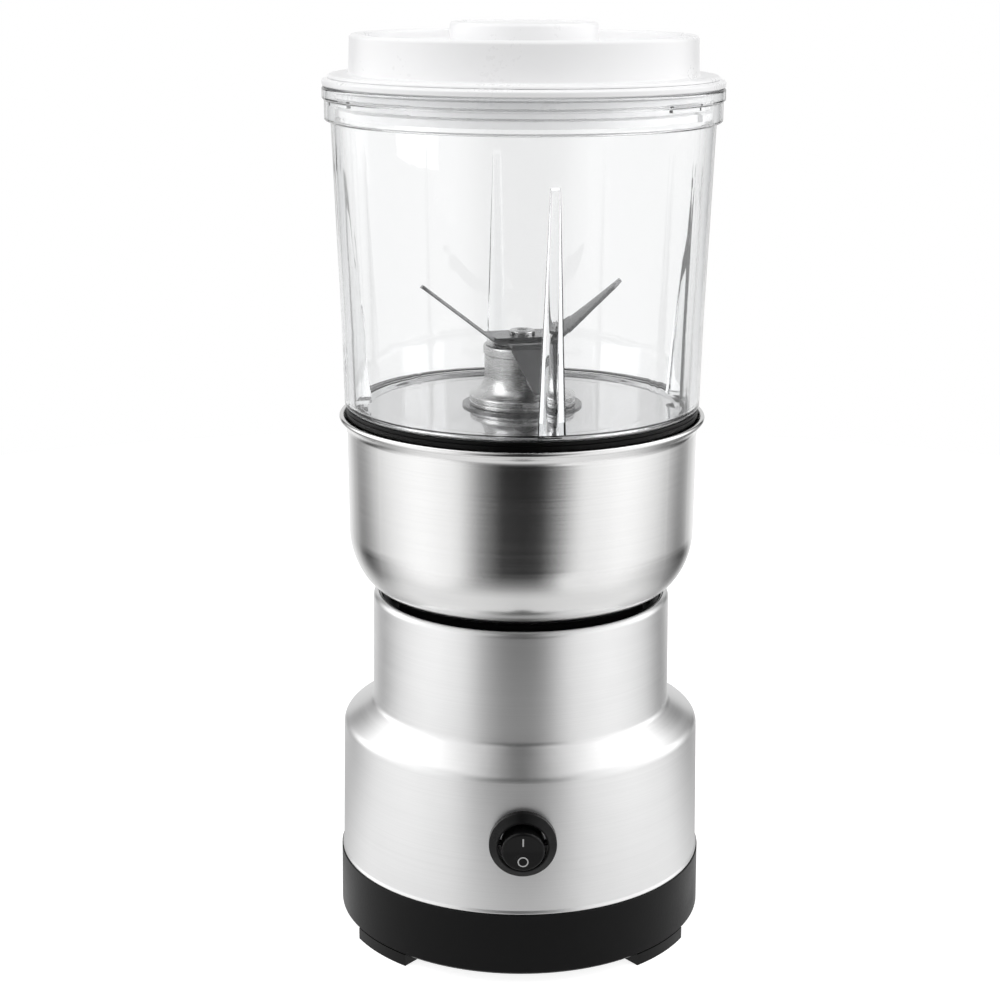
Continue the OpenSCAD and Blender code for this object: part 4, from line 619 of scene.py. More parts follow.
BLADE_T, HUB_W, HUB_HOLE_R, TIP_W, BEND_R = 0.9, 11.6, 3.05, 3.0, 2.2
GRIND_SHARE, GRIND_MOST, EDGE_SHARE, TIP_SHARE = 0.75, 2.2, 0.25, 0.62
BEND_STEPS, ARM_STEPS, HUB_STEPS = 8, 12, 8
UPPER_BLADE_Z, LOWER_BLADE_Z, BLADE_AZ, BLADE_SHARP = 163.9, 163.0, -76.0, 25.0
RIVET_Z, RIVET_R, RIVET_H, DIMPLE_R, DIMPLE_DEEP = 164.8, 3.5, 1.1, 1.4, 0.35


def arm_rows(line, widths):
    """Rows of a blade arm along a bent line of (along, up), with a ground edge on one side."""
    rows = []
    for i, (x, up) in enumerate(line):
        before, after = line[max(i - 1, 0)], line[min(i + 1, len(line) - 1)]
        way = Vector((after[0] - before[0], after[1] - before[1])).normalized()
        lift_x, lift_z = -way.y * BLADE_T, way.x * BLADE_T
        half = widths[i] / 2
        ground = min(half * GRIND_SHARE, GRIND_MOST)
        rows.append([
            (x, -half, up), (x, half, up), (x + lift_x * EDGE_SHARE, half, up + lift_z * EDGE_SHARE),
            (x + lift_x, half - ground, up + lift_z), (x + lift_x, -half, up + lift_z),
        ])
    return rows


def blade(z, bend_r, tip_r, rise):
    """A two-armed blade along x: a flat hub with a hole, two bends and two ground arms."""
    slope = math.atan2(rise, tip_r - bend_r)
    run = abs(BEND_R * math.tan(slope / 2))
    reach = math.hypot(rise, tip_r - bend_r) - run
    edge = bend_r - run
    line = []
    for k in range(BEND_STEPS + 1):
        a = slope * k / BEND_STEPS
        line.append((edge + BEND_R * abs(math.sin(a)), math.copysign(BEND_R * (1 - math.cos(a)), rise)))
    widths = [HUB_W] * len(line)
    start_x, start_z = line[-1]
    for k in range(1, ARM_STEPS + 1):
        t = k / ARM_STEPS
        line.append((start_x + reach * t * math.cos(slope), start_z + reach * t * math.sin(slope)))
        widths.append(HUB_W + (TIP_W - HUB_W) * t)
    widths[-1] = TIP_W * TIP_SHARE
    bm = bmesh.new()
    for side in (1, -1):
        rows = [[bm.verts.new((side * x, side * y, z + up)) for x, y, up in row]
                for row in arm_rows(line, widths)]
        join_rings(bm, rows)
        bm.faces.new(rows[-1])
    # the flat hub, as quads from the hole to the outline, and the hub's two long sides
    outline = [(side * edge, side * (-HUB_W / 2 + HUB_W * k / HUB_STEPS))
               for side in (1, -1) for k in range(HUB_STEPS + 1)]
    around = [math.atan2(y, x) for x, y in outline]
    hole = [(HUB_HOLE_R * math.cos(a), HUB_HOLE_R * math.sin(a)) for a in around]
    rings = [[bm.verts.new((x, y, level)) for x, y in points] for points, level in
             ((outline, z), (hole, z), (hole, z + BLADE_T), (outline, z + BLADE_T))]
    join_rings(bm, rings)
    low, high = rings[0], rings[-1]
    for i in (HUB_STEPS, len(outline) - 1):
        j = (i + 1) % len(outline)
        bm.faces.new((low[j], low[i], high[i], high[j]))
    return bm


def turned_to(az):
    """Turns a blade made along x to the direction az, in degrees from the front."""
    return Matrix.Rotation(math.radians(az - 90.0), 4, "Z")


piece("raised_blade", blade(UPPER_BLADE_Z, bend_r=9.4, tip_r=27.3, rise=14.0), "blades",
      "blade_steel", ["upper_blade"], BLADE_SHARP, turned_to(BLADE_AZ))
piece("lowered_blade", blade(LOWER_BLADE_Z, bend_r=10.6, tip_r=17.2, rise=-11.4), "blades",
      "blade_steel", ["lower_blade"], BLADE_SHARP, turned_to(BLADE_AZ + 90.0))

rivet_path = [(0, RIVET_Z), (RIVET_R - 0.05, RIVET_Z)] + rounded([
    (RIVET_R, RIVET_Z + 0.05, 0), (RIVET_R, RIVET_Z + RIVET_H, 0.45),
    (DIMPLE_R + 0.5, RIVET_Z + RIVET_H, 0.2), (DIMPLE_R, RIVET_Z + RIVET_H - DIMPLE_DEEP, 0.2),
    (0, RIVET_Z + RIVET_H - DIMPLE_DEEP, 0)])
piece("blade_rivet", turned(rivet_path, columns(64)), "blades", "turned_steel", ["blade_cap"])

# ---- the twist locks of the cup and the lid ---------------------------------------------

LOCK_LOW, LOCK_HIGH, LOCK_DEEP = 2.6, 5.0, 1.0
ENTRY_HALF, RUN_END, HAIR = LUG_SPAN / 2 + 2, LUG_SPAN / 2 + 2.2, 0.01
LOCK_SIDES = (-RUN_END, -ENTRY_HALF, ENTRY_HALF, RUN_END + LOCK_TURN)


def in_lock(az, z, low, high):
    """Whether a point lies in a lock's entry, or in the run beside it that the lug turns along."""
    off = near(az, LUG_PLACES)
    entry = abs(off) <= ENTRY_HALF + HAIR and z <= high + HAIR
    run = -RUN_END <= off <= RUN_END + LOCK_TURN and low - HAIR <= z <= high + HAIR
    return entry or run


def add_lock_columns(places, sides):
    """Adds close pairs of columns at the sides of each lug or lock."""
    for a in LUG_PLACES:
        for off in sides:
            for nudge in (0.0, math.copysign(0.06, off)):
                places.add(round((a + off + nudge) % 360.0, 4))


# ---- clear cup --------------------------------------------------------------------------

RIB_LOW_W, RIB_HIGH_W, RIB_LOW_DEEP, RIB_HIGH_DEEP = 6.9, 2.4, 4.95, 0.6
RIB_FOOT_Z, RIB_POWER, RIB_TIP = CUP_Z + 0.8, 2.6, 0.96
RIB_EDGE = math.degrees(math.asin(RIB_LOW_W / 2 / (CUP_LOW_R - CUP_WALL)))
RIB_ROOM, RIB_FADE, RIB_COLUMNS = 9.0, 10.0, 20
LEDGE_Z, LUG_Z, LUG_DEEP = 221.0, 225.0, 1.0
POCKET, POCKET_Z = 0.8, (SPIGOT_Z + LOCK_LOW, SPIGOT_Z + LOCK_HIGH)
INNER_SIDE = {}


def rib_half(z):
    """How far up a rib z is, from 0 to 1, and half the rib's width there."""
    t = fade(z, RIB_FOOT_Z, RIB_TOP_Z)
    return t, (RIB_LOW_W + (RIB_HIGH_W - RIB_LOW_W) * t) / 2


def cup_slide(az, r, z, k):
    """Draws the wall's columns together as its ribs get thinner, so that they follow the ribs' edges."""
    off = near(az, RIB_PLACES)
    if INNER_SIDE.get(k) != "wall" or abs(off) >= RIB_ROOM:
        return az
    edge = math.degrees(math.asin(rib_half(z)[1] / r))
    edge += (RIB_EDGE - edge) * fade(z, RIB_TOP_Z, RIB_TOP_Z + RIB_FADE)
    if abs(off) <= RIB_EDGE:
        return az - off + off * edge / RIB_EDGE
    beyond = (abs(off) - RIB_EDGE) / (RIB_ROOM - RIB_EDGE)
    return az - off + math.copysign(edge + (RIB_ROOM - edge) * beyond, off)


def rib_shift(az, r, z):
    """How far a rib with a rounded section and a rounded tip stands into the cup."""
    t, half = rib_half(z)
    deep = RIB_LOW_DEEP + (RIB_HIGH_DEEP - RIB_LOW_DEEP) * t
    if t > RIB_TIP:
        deep *= math.sqrt(max(0.0, 1 - ((t - RIB_TIP) / (1.0 - RIB_TIP)) ** 2))
    across = abs(r * math.sin(math.radians(near(az, RIB_PLACES)))) / half
    return -deep * (1 - across ** RIB_POWER) ** (1 / RIB_POWER) if across < 1.0 else 0.0


def cup_shift(az, r, z, k):
    """Ribs, lugs and lock pockets, as a change of the cup's inner radius."""
    part = INNER_SIDE.get(k)
    if part == "wall":
        return rib_shift(az, r, z)
    if part == "mouth":
        on_lug = abs(near(az, LUG_PLACES)) <= LUG_SPAN / 2 + HAIR
        return -LUG_DEEP if on_lug and LUG_Z - HAIR <= z <= LUG_Z + LUG_T + HAIR else 0.0
    if part == "bore":
        return POCKET if in_lock(az, z, *POCKET_Z) else 0.0
    return 0.0


def wall_r(z):
    """The outer radius of the cup's wall, which is a steep cone below its knee and a wider one above."""
    if z > KNEE_Z:
        return KNEE_R + (CUP_HIGH_R - KNEE_R) * (z - KNEE_Z) / (BAND_Z - KNEE_Z)
    return CUP_LOW_R + (KNEE_R - CUP_LOW_R) * (z - CUP_Z) / (KNEE_Z - CUP_Z)


def make_cup():
    """The cup's outline, up its outside, over its rim and down its inside, turned with its ribs."""
    outer = rounded([
        (SPIGOT_BORE_R, SPIGOT_Z, 0.0), (SPIGOT_R, SPIGOT_Z, 0.4), (SPIGOT_R, CUP_Z, 0.15),
        (CUP_LOW_R, CUP_Z, 0.6), (KNEE_R, KNEE_Z, 60.0), (CUP_HIGH_R, BAND_Z, 0.4),
        (BAND_R, BAND_Z + 0.1, 0.6), (BAND_R, RIM_Z - 0.35, 0.3), (RIM_R, RIM_Z, 0.3),
        (RIM_R, CUP_TOP, 0.6), (MOUTH_R, CUP_TOP, 0.4), (MOUTH_R, CUP_TOP - 1.0, 0.0)
    ])
    mouth = [(MOUTH_R, z) for z in (LUG_Z + LUG_T + 0.05, LUG_Z + LUG_T, LUG_Z, LUG_Z - 0.05)]
    ledge = [(MOUTH_R, LEDGE_Z), (CUP_HIGH_R - CUP_WALL + 0.05, LEDGE_Z - 0.05)]
    over_ribs = [LEDGE_Z - 0.15] + [LEDGE_Z - 1.0 - 2.0 * k for k in range(6)]
    rib_tips = [RIB_TOP_Z + 0.3 - 0.35 * k for k in range(9)]
    rib_runs = [RIB_TOP_Z - 3.8 - 3.0 * k for k in range(19)]
    rib_feet = [CUP_Z + 2.7, CUP_Z + 1.7, CUP_Z + 1.1]
    wall = ledge + [(wall_r(z) - CUP_WALL, z) for z in over_ribs + rib_tips + rib_runs + rib_feet]
    foot = [(CUP_LOW_R - CUP_WALL, CUP_Z + 1.0), (CUP_LOW_R - CUP_WALL - 0.1, CUP_Z + 0.75),
            (SPIGOT_BORE_R + 0.2, CUP_Z + 0.7), (SPIGOT_BORE_R, CUP_Z + 0.5)]
    bore = [(SPIGOT_BORE_R, z) for z in (POCKET_Z[1] + 0.05, POCKET_Z[1], POCKET_Z[0], POCKET_Z[0] - 0.05,
                                         SPIGOT_Z + 0.02)]
    path = split_long(outer, 6.0)
    for part, points in (("mouth", mouth), ("wall", wall), ("foot", foot), ("bore", bore)):
        INNER_SIDE.update((len(path) + k, part) for k in range(len(points)))
        path += points
    INNER_SIDE[0] = "bore"
    places = {az for az in columns(180) if abs(near(az, RIB_PLACES)) > RIB_EDGE + 0.3}
    for a in RIB_PLACES:
        for step in range(-RIB_COLUMNS, RIB_COLUMNS + 1):
            places.add(round((a + RIB_EDGE * math.sin(math.radians(90.0 * step / RIB_COLUMNS))) % 360.0, 4))
    add_lock_columns(places, LOCK_SIDES + (-LUG_SPAN / 2, LUG_SPAN / 2))
    return turned(path, sorted(places), cup_shift, slide=cup_slide)


piece("clear_cup_shell", make_cup(), "cup", "clear_plastic", ["clear_cup"])

# ---- lid --------------------------------------------------------------------------------

GROOVE_PLACES, GROOVE_HALF_H, GROOVE_IN = (224.2, 226.4, 228.6), 0.4, 0.85
SEAL_IN_R, SEAL_OUT_R, SEAL_DEEP, FLANGE_STEP_R = 49.4, 51.1, 1.4, 50.5
RING_W, KNOB_WALL, LID_T, LID_HOLLOW_R = 2.2, 2.0, 2.0, 42.5
LID_OUTSIDE = set()


def lid_shift(az, r, z, k):
    """The lock pockets in the outside of the lid's skirt."""
    pocket = k in LID_OUTSIDE and in_lock(az, z, SKIRT_Z + LOCK_LOW, SKIRT_Z + LOCK_HIGH)
    return -LOCK_DEEP if pocket else 0.0


def skirt_groove(z):
    """A shallow V groove round the outside of the lid's skirt."""
    return [(SKIRT_R, z - GROOVE_HALF_H), (SKIRT_R - GROOVE_IN, z - 0.06),
            (SKIRT_R - GROOVE_IN, z + 0.06), (SKIRT_R, z + GROOVE_HALF_H)]


def make_lid():
    """The lid's outline, up its skirt, over its flange, ring and knob, and back underneath."""
    path = [(SKIRT_IN_R, SKIRT_Z), (SKIRT_R - LOCK_DEEP - 0.02, SKIRT_Z)]
    grooves = [skirt_groove(z) for z in GROOVE_PLACES]
    skirt = ([(SKIRT_R, SKIRT_Z + 0.05), (SKIRT_R, SKIRT_Z + 0.3)] + grooves[0]
             + [(SKIRT_R, SKIRT_Z + LOCK_LOW - 0.05), (SKIRT_R, SKIRT_Z + LOCK_LOW)] + grooves[1]
             + [(SKIRT_R, SKIRT_Z + LOCK_HIGH), (SKIRT_R, SKIRT_Z + LOCK_HIGH + 0.05)] + grooves[2])
    LID_OUTSIDE.update(range(len(path), len(path) + len(skirt)))
    top = rounded([
        (SKIRT_R, LID_Z - 0.4, 0.0), (SKIRT_R, LID_Z, 0.2), (SEAL_IN_R, LID_Z, 0.1),
        (SEAL_IN_R, LID_Z + SEAL_DEEP, 0.2), (SEAL_OUT_R, LID_Z + SEAL_DEEP, 0.2), (SEAL_OUT_R, LID_Z, 0.1),
        (LID_R, LID_Z, 0.3), (LID_R, LID_Z + 1.45, 0.45), (FLANGE_STEP_R, LID_Z + 1.7, 0.25),
        (FLANGE_STEP_R, FLANGE_TOP, 0.8), (LID_RING_R + 0.35, FLANGE_TOP - 0.02, 0.55),
        (LID_RING_R, RING_TOP, 1.0), (LID_RING_R - RING_W, RING_TOP, 0.8),
        (LID_RING_R - RING_W - 0.2, MOAT_Z, 0.9), (KNOB_R, MOAT_Z, 2.2), (KNOB_R, KNOB_TOP, 1.0),
        (KNOB_R - 1.9, KNOB_TOP, 0.25), (KNOB_R - 2.2, KNOB_TOP - 0.4, 0.3), (0.0, KNOB_TOP - 0.4, 0.0)
    ])
    under = rounded([
        (0.0, KNOB_TOP - LID_T - 0.4, 0.0), (KNOB_R - KNOB_WALL, KNOB_TOP - LID_T - 0.4, 0.5),
        (KNOB_R - KNOB_WALL, MOAT_Z - LID_T, 0.5), (LID_HOLLOW_R - 1.0, MOAT_Z - LID_T, 1.0),
        (LID_HOLLOW_R, MOAT_Z - LID_T - 1.0, 0.4), (LID_HOLLOW_R, LID_Z + 2.0, 0.4),
        (SKIRT_IN_R, LID_Z + 0.8, 0.8), (SKIRT_IN_R, SKIRT_Z + 2.0, 0.0)
    ])
    places = set(columns())
    add_lock_columns(places, LOCK_SIDES)
    return turned(path + skirt + split_long(top) + split_long(under), sorted(places), lid_shift)


piece("white_lid", make_lid(), "lid", "white_plastic", ["lid"])

# ---- switch -----------------------------------------------------------------------------

BARREL_R, BARREL_BACK, HOLE_DEEP, BEZEL_BACK = 7.25, 19.0, 10.2, BODY_R - 2.3
FOLD_SLOPE = math.tan(math.radians(ROCKER_FOLD))
FOLD_Z = ROCKER_H - ROCKER_R * FOLD_SLOPE
SOFT_EDGE, SOFT_FOLD, SOFT_STEPS = 0.7, 0.35, 6
ROCKER_SIDE, ROCKER_BACK, PIN_R, PIN_END = 1.0, -1.2, 0.9, 6.9
MARK_OFF, MARK_SINK, MARK_T = 2.9, -0.2, 0.03
ON_MARK_W, ON_MARK_L, OFF_MARK_R, OFF_MARK_W = 0.38, 2.4, 1.4, 0.3

OUT_OF_FRONT = Matrix.Rotation(math.radians(90), 4, "X")
ON_BODY = Matrix.Translation((0, 0, SWITCH_Z)) @ OUT_OF_FRONT
ON_PIVOT = (Matrix.Translation((0, PIVOT_Y, SWITCH_Z)) @ Matrix.Rotation(math.radians(ROCKER_TILT), 4, "X")
            @ OUT_OF_FRONT)

bezel_front = -BEZEL_Y
bezel_path = rounded([
    (0.0, BARREL_BACK, 0.0), (BARREL_R, BARREL_BACK, 0.3), (BARREL_R, BEZEL_BACK, 0.0),
    (BEZEL_R, BEZEL_BACK, 0.0), (BEZEL_R, bezel_front - 1.55, 0.25),
    (BEZEL_HOLE_R + 0.4, bezel_front, 0.25), (BEZEL_HOLE_R, bezel_front, 0.15),
    (BEZEL_HOLE_R, bezel_front - HOLE_DEEP, 0.3), (0.0, bezel_front - HOLE_DEEP, 0.0)
])
piece("switch_bezel", turned(bezel_path, columns(96)), "base", "switch_plastic", ["switch_housing"],
      matrix=ON_BODY)


def make_rocker():
    """The round rocker, with a face folded across its middle and soft edges, and its pins."""
    bm = bmesh.new()
    turns = [math.radians(a) for a in columns(96)]

    def face_z(y):
        return FOLD_Z + FOLD_SLOPE * (math.sqrt(y * y + SOFT_FOLD ** 2) - SOFT_FOLD * 0.5)

    def ring(r, height):
        """A circle of points whose heights follow from their y."""
        return [bm.verts.new((r * math.sin(a), r * math.cos(a), height(r * math.cos(a)))) for a in turns]

    centre = bm.verts.new((0, 0, face_z(0)))
    rings = [ring(r, face_z) for r in [0.6 * k for k in range(1, 9)] + [ROCKER_R - SOFT_EDGE]]
    for k in range(1, SOFT_STEPS + 1):
        t = math.radians(90.0 * k / SOFT_STEPS)
        drop = SOFT_EDGE * (1 - math.cos(t))
        rings.append(ring(ROCKER_R - SOFT_EDGE + SOFT_EDGE * math.sin(t), lambda y: face_z(y) - drop))
    rings += [ring(ROCKER_R, lambda y: ROCKER_SIDE), ring(ROCKER_R, lambda y: ROCKER_BACK)]
    for i in range(len(turns)):
        bm.faces.new((centre, rings[0][i], rings[0][(i + 1) % len(turns)]))
    join_rings(bm, rings)
    bm.faces.new(rings[-1])
    around = [math.radians(30.0 * k) for k in range(12)]
    for side in (1, -1):
        ends = [[bm.verts.new((side * x, PIN_R * math.cos(a), PIN_R * math.sin(a))) for a in around]
                for x in (ROCKER_R - 0.4, PIN_END)]
        join_rings(bm, ends)
        for end in ends:
            bm.faces.new(end)
    return bm


def make_marks():
    """The thin on and off marks, printed on the two halves of the rocker's face."""
    bm = bmesh.new()

    def on_face(x, y, lift):
        return (x, y, FOLD_Z + FOLD_SLOPE * (abs(y) - 0.02) + lift)

    def ribbon(inner, outer, closed):
        """A flat printed line between two rows of points, MARK_T above the face."""
        rows = [[bm.verts.new(on_face(x, y, lift)) for x, y in row] for row, lift in
                ((inner, MARK_SINK), (inner, MARK_T), (outer, MARK_T), (outer, MARK_SINK))]
        n = len(inner)
        for a, b in zip(rows, rows[1:] + rows[:1]):
            for i in range(n if closed else n - 1):
                j = (i + 1) % n
                bm.faces.new((a[i], a[j], b[j], b[i]))
        if not closed:
            bm.faces.new([row[0] for row in rows])
            bm.faces.new([row[-1] for row in rows][::-1])

    half, low, high = ON_MARK_W / 2, MARK_OFF - ON_MARK_L / 2, MARK_OFF + ON_MARK_L / 2
    ribbon([(-half, low), (-half, high)], [(half, low), (half, high)], False)
    around = [math.radians(7.5 * k) for k in range(48)]
    circles = [[(r * math.sin(a), -MARK_OFF + r * math.cos(a)) for a in around]
               for r in (OFF_MARK_R - OFF_MARK_W, OFF_MARK_R)]
    ribbon(circles[0], circles[1], True)
    return bm


piece("round_rocker", make_rocker(), "rocker", "switch_plastic", ["rocker_button"], matrix=ON_PIVOT)
piece("thin_marks", make_marks(), "rocker", "white_paint", ["rocker_marks"], matrix=ON_PIVOT)

# ---- finishes of the solid model's own pieces -------------------------------------------

SLOT_OF = {part["node"]: part["material_slot"] for part in frame["record"]["subparts"]}
for name, solid in frame["nodes"].items():
    for place in solid.material_slots:
        place.material = FINISH[SLOT_OF[name]]

# ---- studio: world and floor ------------------------------------------------------------

WORLD_FILL, FLOOR_R, FLOOR_GREY, FLOOR_GLOW = 0.6, 600.0, 0.5, 0.86
WHITE = (1.0, 1.0, 1.0, 1.0)


def seen_directly(tree):
    """1 for what the camera, a mirror or clear plastic sees, 0 for the light that falls on pieces."""
    path = node(tree, "ShaderNodeLightPath")
    both = math_node(tree, "MAXIMUM", path.outputs["Is Camera Ray"], path.outputs["Is Glossy Ray"])
    return math_node(tree, "MAXIMUM", both, path.outputs["Is Transmission Ray"])


def make_world():
    world = bpy.data.worlds.new("studio_white")
    bpy.context.scene.world = world
    world.use_nodes = True
    tree = world.node_tree
    background = tree.nodes["Background"]
    background.inputs["Color"].default_value = WHITE
    tree.links.new(ramp(tree, seen_directly(tree), 0.0, 1.0, WORLD_FILL, 1.0), background.inputs["Strength"])


def make_floor():
    """A round sheet of pale paper under the grinder."""
    tree, paper = finish_tree("studio_paper", (FLOOR_GREY,) * 3, 1.0, Specular_IOR_Level=0.0,
                              Emission_Color=WHITE)
    tree.links.new(ramp(tree, seen_directly(tree), 0.0, 1.0, 0.0, FLOOR_GLOW),
                   paper.inputs["Emission Strength"])
    bm = turned([(0.0, 0.0), (FLOOR_R / 4, 0.0), (FLOOR_R, 0.0)], columns(96), closed=False)
    bmesh.ops.remove_doubles(bm, verts=bm.verts, dist=SAME_POINT)
    bmesh.ops.scale(bm, vec=(MM, MM, MM), verts=bm.verts)
    floor = link_mesh("studio_floor", bm, FINISH["studio_paper"])
    floor.visible_glossy = False


make_world()
make_floor()

# ---- studio: cards and panels that only shiny pieces see, in metres and degrees ---------

# Dark cards darken the pieces and panels brighten them. Through the clear cup, the cards of the
# front tent show only where light comes back from inside it.


def along_line(line, x):
    """The height of a line of (x, y) points at x."""
    for (x0, y0), (x1, y1) in zip(line, line[1:]):
        if x <= x1:
            return y0 + (y1 - y0) * fade(x, x0, x1)
    return line[-1][1]


def bell(x, middle, spread):
    """A soft bump that is 1 in its middle and falls off over its spread."""
    return math.exp(-((x - middle) / spread) ** 2)


def direction(az, el):
    """The way to a place seen at az degrees from the front and el degrees up."""
    a, e = math.radians(az), math.radians(el)
    return math.sin(a) * math.cos(e), -math.cos(a) * math.cos(e), math.sin(e)


# darkness of the front card against the angle to its side, at eye level and overhead
CARD_LEVEL = ((0.0, 0.985), (13.0, 0.97), (20.0, 0.84), (26.0, 0.7), (32.0, 0.42), (39.0, 0.1),
              (45.0, 0.0))
CARD_TOP = ((0.0, 0.96), (5.0, 0.9), (10.0, 0.6), (15.0, 0.3), (21.0, 0.0))


def front_card(az, el):
    """Darkness of the card that stands in front and reaches overhead, in degrees from the front."""
    x = math.sin(math.radians(az)) * math.cos(math.radians(el))
    lean = math.degrees(math.asin(min(1.0, abs(x))))
    if az > 0:
        lean *= 1.06 + 0.075 * min(8.0, max(0.0, -15.0 - el))
    rise = fade(el, 22.0, 56.0)
    deep = along_line(CARD_LEVEL, lean) * (1.0 - rise) + along_line(CARD_TOP, lean) * rise
    if abs(az) > 90:
        deep *= fade(el, 40.0, 70.0)
    return deep * (1.0 - 0.06 * fade(el, -17.5, -19.5))


def side_cards(az, el):
    """Darkness of the cards at the two sides, further back the higher they stand."""
    side = abs(az)
    low = fade(el, -16.8, -18.4)
    if az > 0:
        middle, spread, depth = 125.0 + 13.0 * low, 22.0 + 20.0 * low, 0.68 + 0.24 * low
        back = 0.95 * fade(side, 108.0, 148.0)
    else:
        middle, spread, depth = 129.0 - 3.0 * low, 21.0 + 7.0 * low, 0.68 + 0.26 * low
        back = 0.85 * fade(side, 118.0, 148.0)
    middle += 0.38 * max(0.0, el + 14.0)
    if side > middle:
        spread = 20.0
    wing = depth * bell(side, middle, spread) * fade(el, 8.0, -12.0)
    back *= fade(el, 42.0, 30.0) * fade(el, -12.0, -4.0) * (1.0 - 0.72 * fade(side, 150.0, 153.5))
    edge = 0.7 * bell(side, 148.5, 3.5) * bell(el, 11.0, 9.0)
    ground = 0.1 * fade(el, -42.0, -52.0)
    return 1.0 - (1.0 - wing) * (1.0 - back) * (1.0 - edge) * (1.0 - ground)


def side_panels(az, el):
    """Light from the softboxes at the two sides, added to the white of the tent."""
    side = abs(az)
    low = 0.2 * bell(side, 70.0, 20.0) * fade(el, 50.0, 20.0)
    high = 1.1 * bell(side, 120.0, 28.0 if side < 120.0 else 14.0)
    high *= fade(el, -14.0, 16.0) * fade(el, 80.0, 68.0)
    return low + high * (0.6 if az > 0 and side > 120.0 else 1.0)


CUP_CROSSINGS = 4


def make_cards():
    """Cards as dark as their mesh's shade, with light of the strength of its glow."""
    mat = bpy.data.materials.new("studio_cards")
    mat.use_nodes = True
    tree = mat.node_tree
    tree.nodes.remove(tree.nodes["Principled BSDF"])
    # rays that only pass through the cup's walls see no cards; those that come back from inside do
    path = node(tree, "ShaderNodeLightPath")
    through = math_node(tree, "GREATER_THAN", path.outputs["Transmission Depth"], CUP_CROSSINGS - 0.5)
    turned_back = math_node(tree, "GREATER_THAN", path.outputs["Glossy Depth"], 0.5)
    from_inside = math_node(tree, "MULTIPLY", through, turned_back)
    not_through = math_node(tree, "SUBTRACT", 1.0, path.outputs["Is Transmission Ray"])
    seen = math_node(tree, "MAXIMUM", from_inside, not_through)
    shade, glow = (math_node(tree, "MULTIPLY", seen,
                             node(tree, "ShaderNodeAttribute", attribute_name=name).outputs["Fac"])
                   for name in ("shade", "glow"))
    card = node(tree, "ShaderNodeBsdfTransparent")
    grey = node(tree, "ShaderNodeCombineColor")
    left = math_node(tree, "SUBTRACT", 1.0, shade)
    for k in range(3):
        tree.links.new(left, grey.inputs[k])
    tree.links.new(grey.outputs[0], card.inputs["Color"])
    panel = node(tree, "ShaderNodeEmission")
    tree.links.new(glow, panel.inputs["Strength"])
    both = node(tree, "ShaderNodeAddShader")
    tree.links.new(card.outputs[0], both.inputs[0])
    tree.links.new(panel.outputs[0], both.inputs[1])
    tree.links.new(both.outputs[0], tree.nodes["Material Output"].inputs["Surface"])
    return mat


CARDS = make_cards()


def hang(name, rows):
    """A sheet of cards from closed rows of (place, shade, glow), which only shiny pieces see."""
    bm = bmesh.new()
    shade_layer = bm.verts.layers.float.new("shade")
    glow_layer = bm.verts.layers.float.new("glow")
    rings = []
    for row in rows:
        ring = []
        for place, shade, glow in row:
            corner = bm.verts.new(place)
            corner[shade_layer], corner[glow_layer] = shade, glow
            ring.append(corner)
        rings.append(ring)
    join_rings(bm, rings)
    made = link_mesh(name, bm, CARDS)
    made.visible_camera = made.visible_diffuse = False
    made.visible_shadow = made.visible_volume_scatter = False
    return made


FRONT_TENT_R, SIDE_TENT_R, TENT_MIDDLE = 1.3, 1.4, 0.11
TENT_COLUMNS, TENT_ROWS, TENT_POLE = 180, 90, 89.9


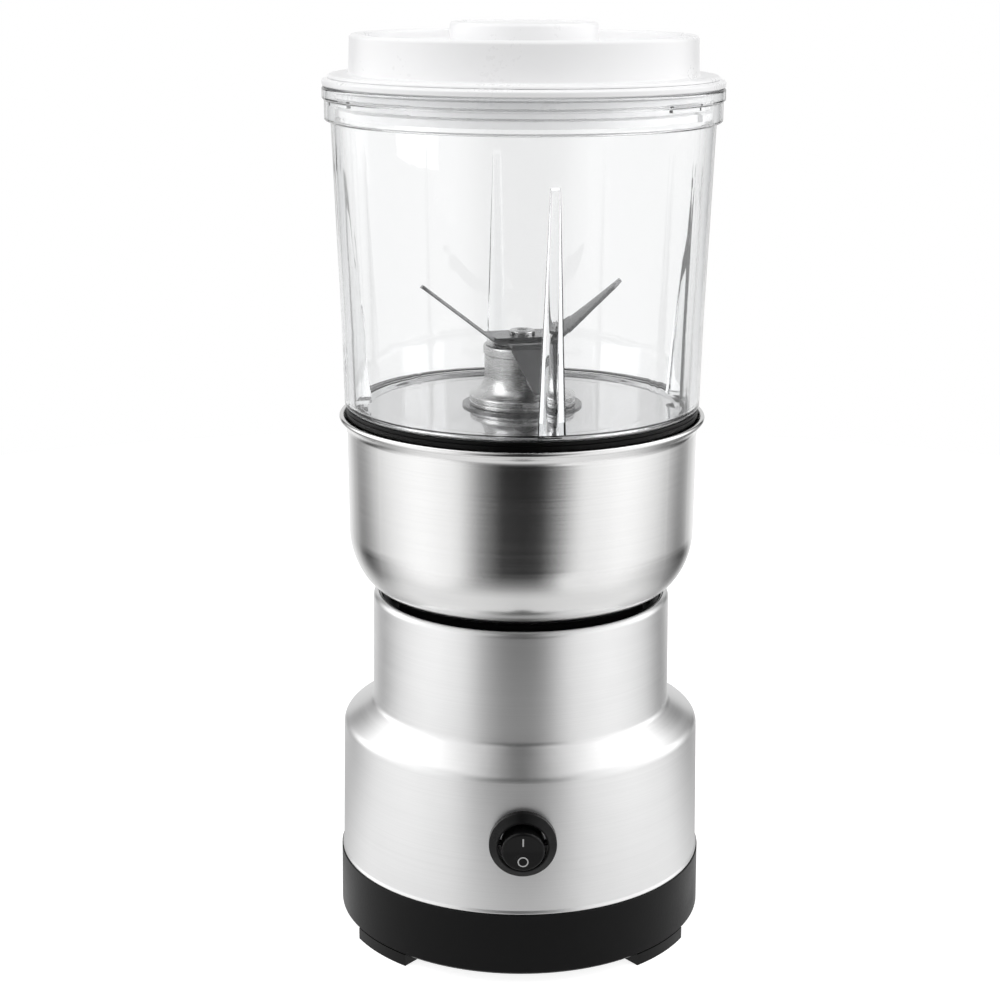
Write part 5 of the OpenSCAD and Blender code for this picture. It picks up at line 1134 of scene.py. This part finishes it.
def make_tent(name, radius, shade_at, glow_at):
    """A sphere of cards round the grinder, with a shade and a glow for each direction."""
    rows = []
    for i in range(TENT_ROWS + 1):
        el = -TENT_POLE + 2.0 * TENT_POLE * i / TENT_ROWS
        row = []
        for j in range(TENT_COLUMNS):
            az = -180.0 + 360.0 * j / TENT_COLUMNS
            x, y, z = direction(az, el)
            place = (radius * x, radius * y, TENT_MIDDLE + radius * z)
            row.append((place, shade_at(az, el), glow_at(az, el)))
        rows.append(row)
    return hang(name, rows)


MAT_Z, MAT_HOLE_R, MAT_COLUMNS = 0.0003, 0.03, 72
MAT_COVER = ((0.12, 1.0), (0.15, 0.72), (0.18, 0.36), (0.23, 0.18), (0.3, 0.0))


def make_mat():
    """A white mat round the grinder, which fades out and which only shiny pieces see."""
    rows = []
    for r in [MAT_HOLE_R] + [0.1 + 0.01 * k for k in range(21)]:
        cover = along_line(MAT_COVER, r)
        row = []
        for j in range(MAT_COLUMNS):
            a = math.radians(360.0 * j / MAT_COLUMNS)
            behind = fade(-math.cos(a), 0.0, 0.8)
            glow = cover * (0.72 + 0.2 * abs(math.sin(a)) - 0.4 * behind)
            row.append(((r * math.sin(a), -r * math.cos(a), MAT_Z), cover, glow))
        rows.append(row)
    return hang("white_mat", rows)


make_tent("front_tent", FRONT_TENT_R, front_card, lambda az, el: 0.0)
make_tent("side_tent", SIDE_TENT_R, side_cards, side_panels).visible_transmission = False
make_mat().visible_transmission = False

# ---- studio: lamps ----------------------------------------------------------------------

LAMPS = (
    # name, azimuth, elevation, distance, width, height, power
    ("left_softbox", -76.0, 30.0, 1.2, 0.8, 1.2, 7.3),
    ("right_softbox", 76.0, 28.0, 1.2, 0.8, 1.2, 7.5),
    ("top_softbox", 0.0, 82.0, 1.1, 0.9, 0.9, 1.6),
)
TARGET = Vector((0.0, 0.0, 0.12))
for name, az, el, far, wide, high, power in LAMPS:
    lamp_data = bpy.data.lights.new(name, "AREA")
    lamp_data.shape = "RECTANGLE"
    lamp_data.size, lamp_data.size_y = wide, high
    lamp_data.energy = power
    lamp = bpy.data.objects.new(name, lamp_data)
    bpy.context.scene.collection.objects.link(lamp)
    way = Vector(direction(az, el))
    lamp.location = TARGET + way * far
    lamp.rotation_euler = way.to_track_quat("Z", "Y").to_euler()
    lamp.visible_camera = lamp.visible_glossy = False

# the clear cup and the seal over it cast no shadow, so the inside of the cup stays light
for see_through in ("clear_cup_shell", "lid_seal"):
    bpy.data.objects[see_through].visible_shadow = False
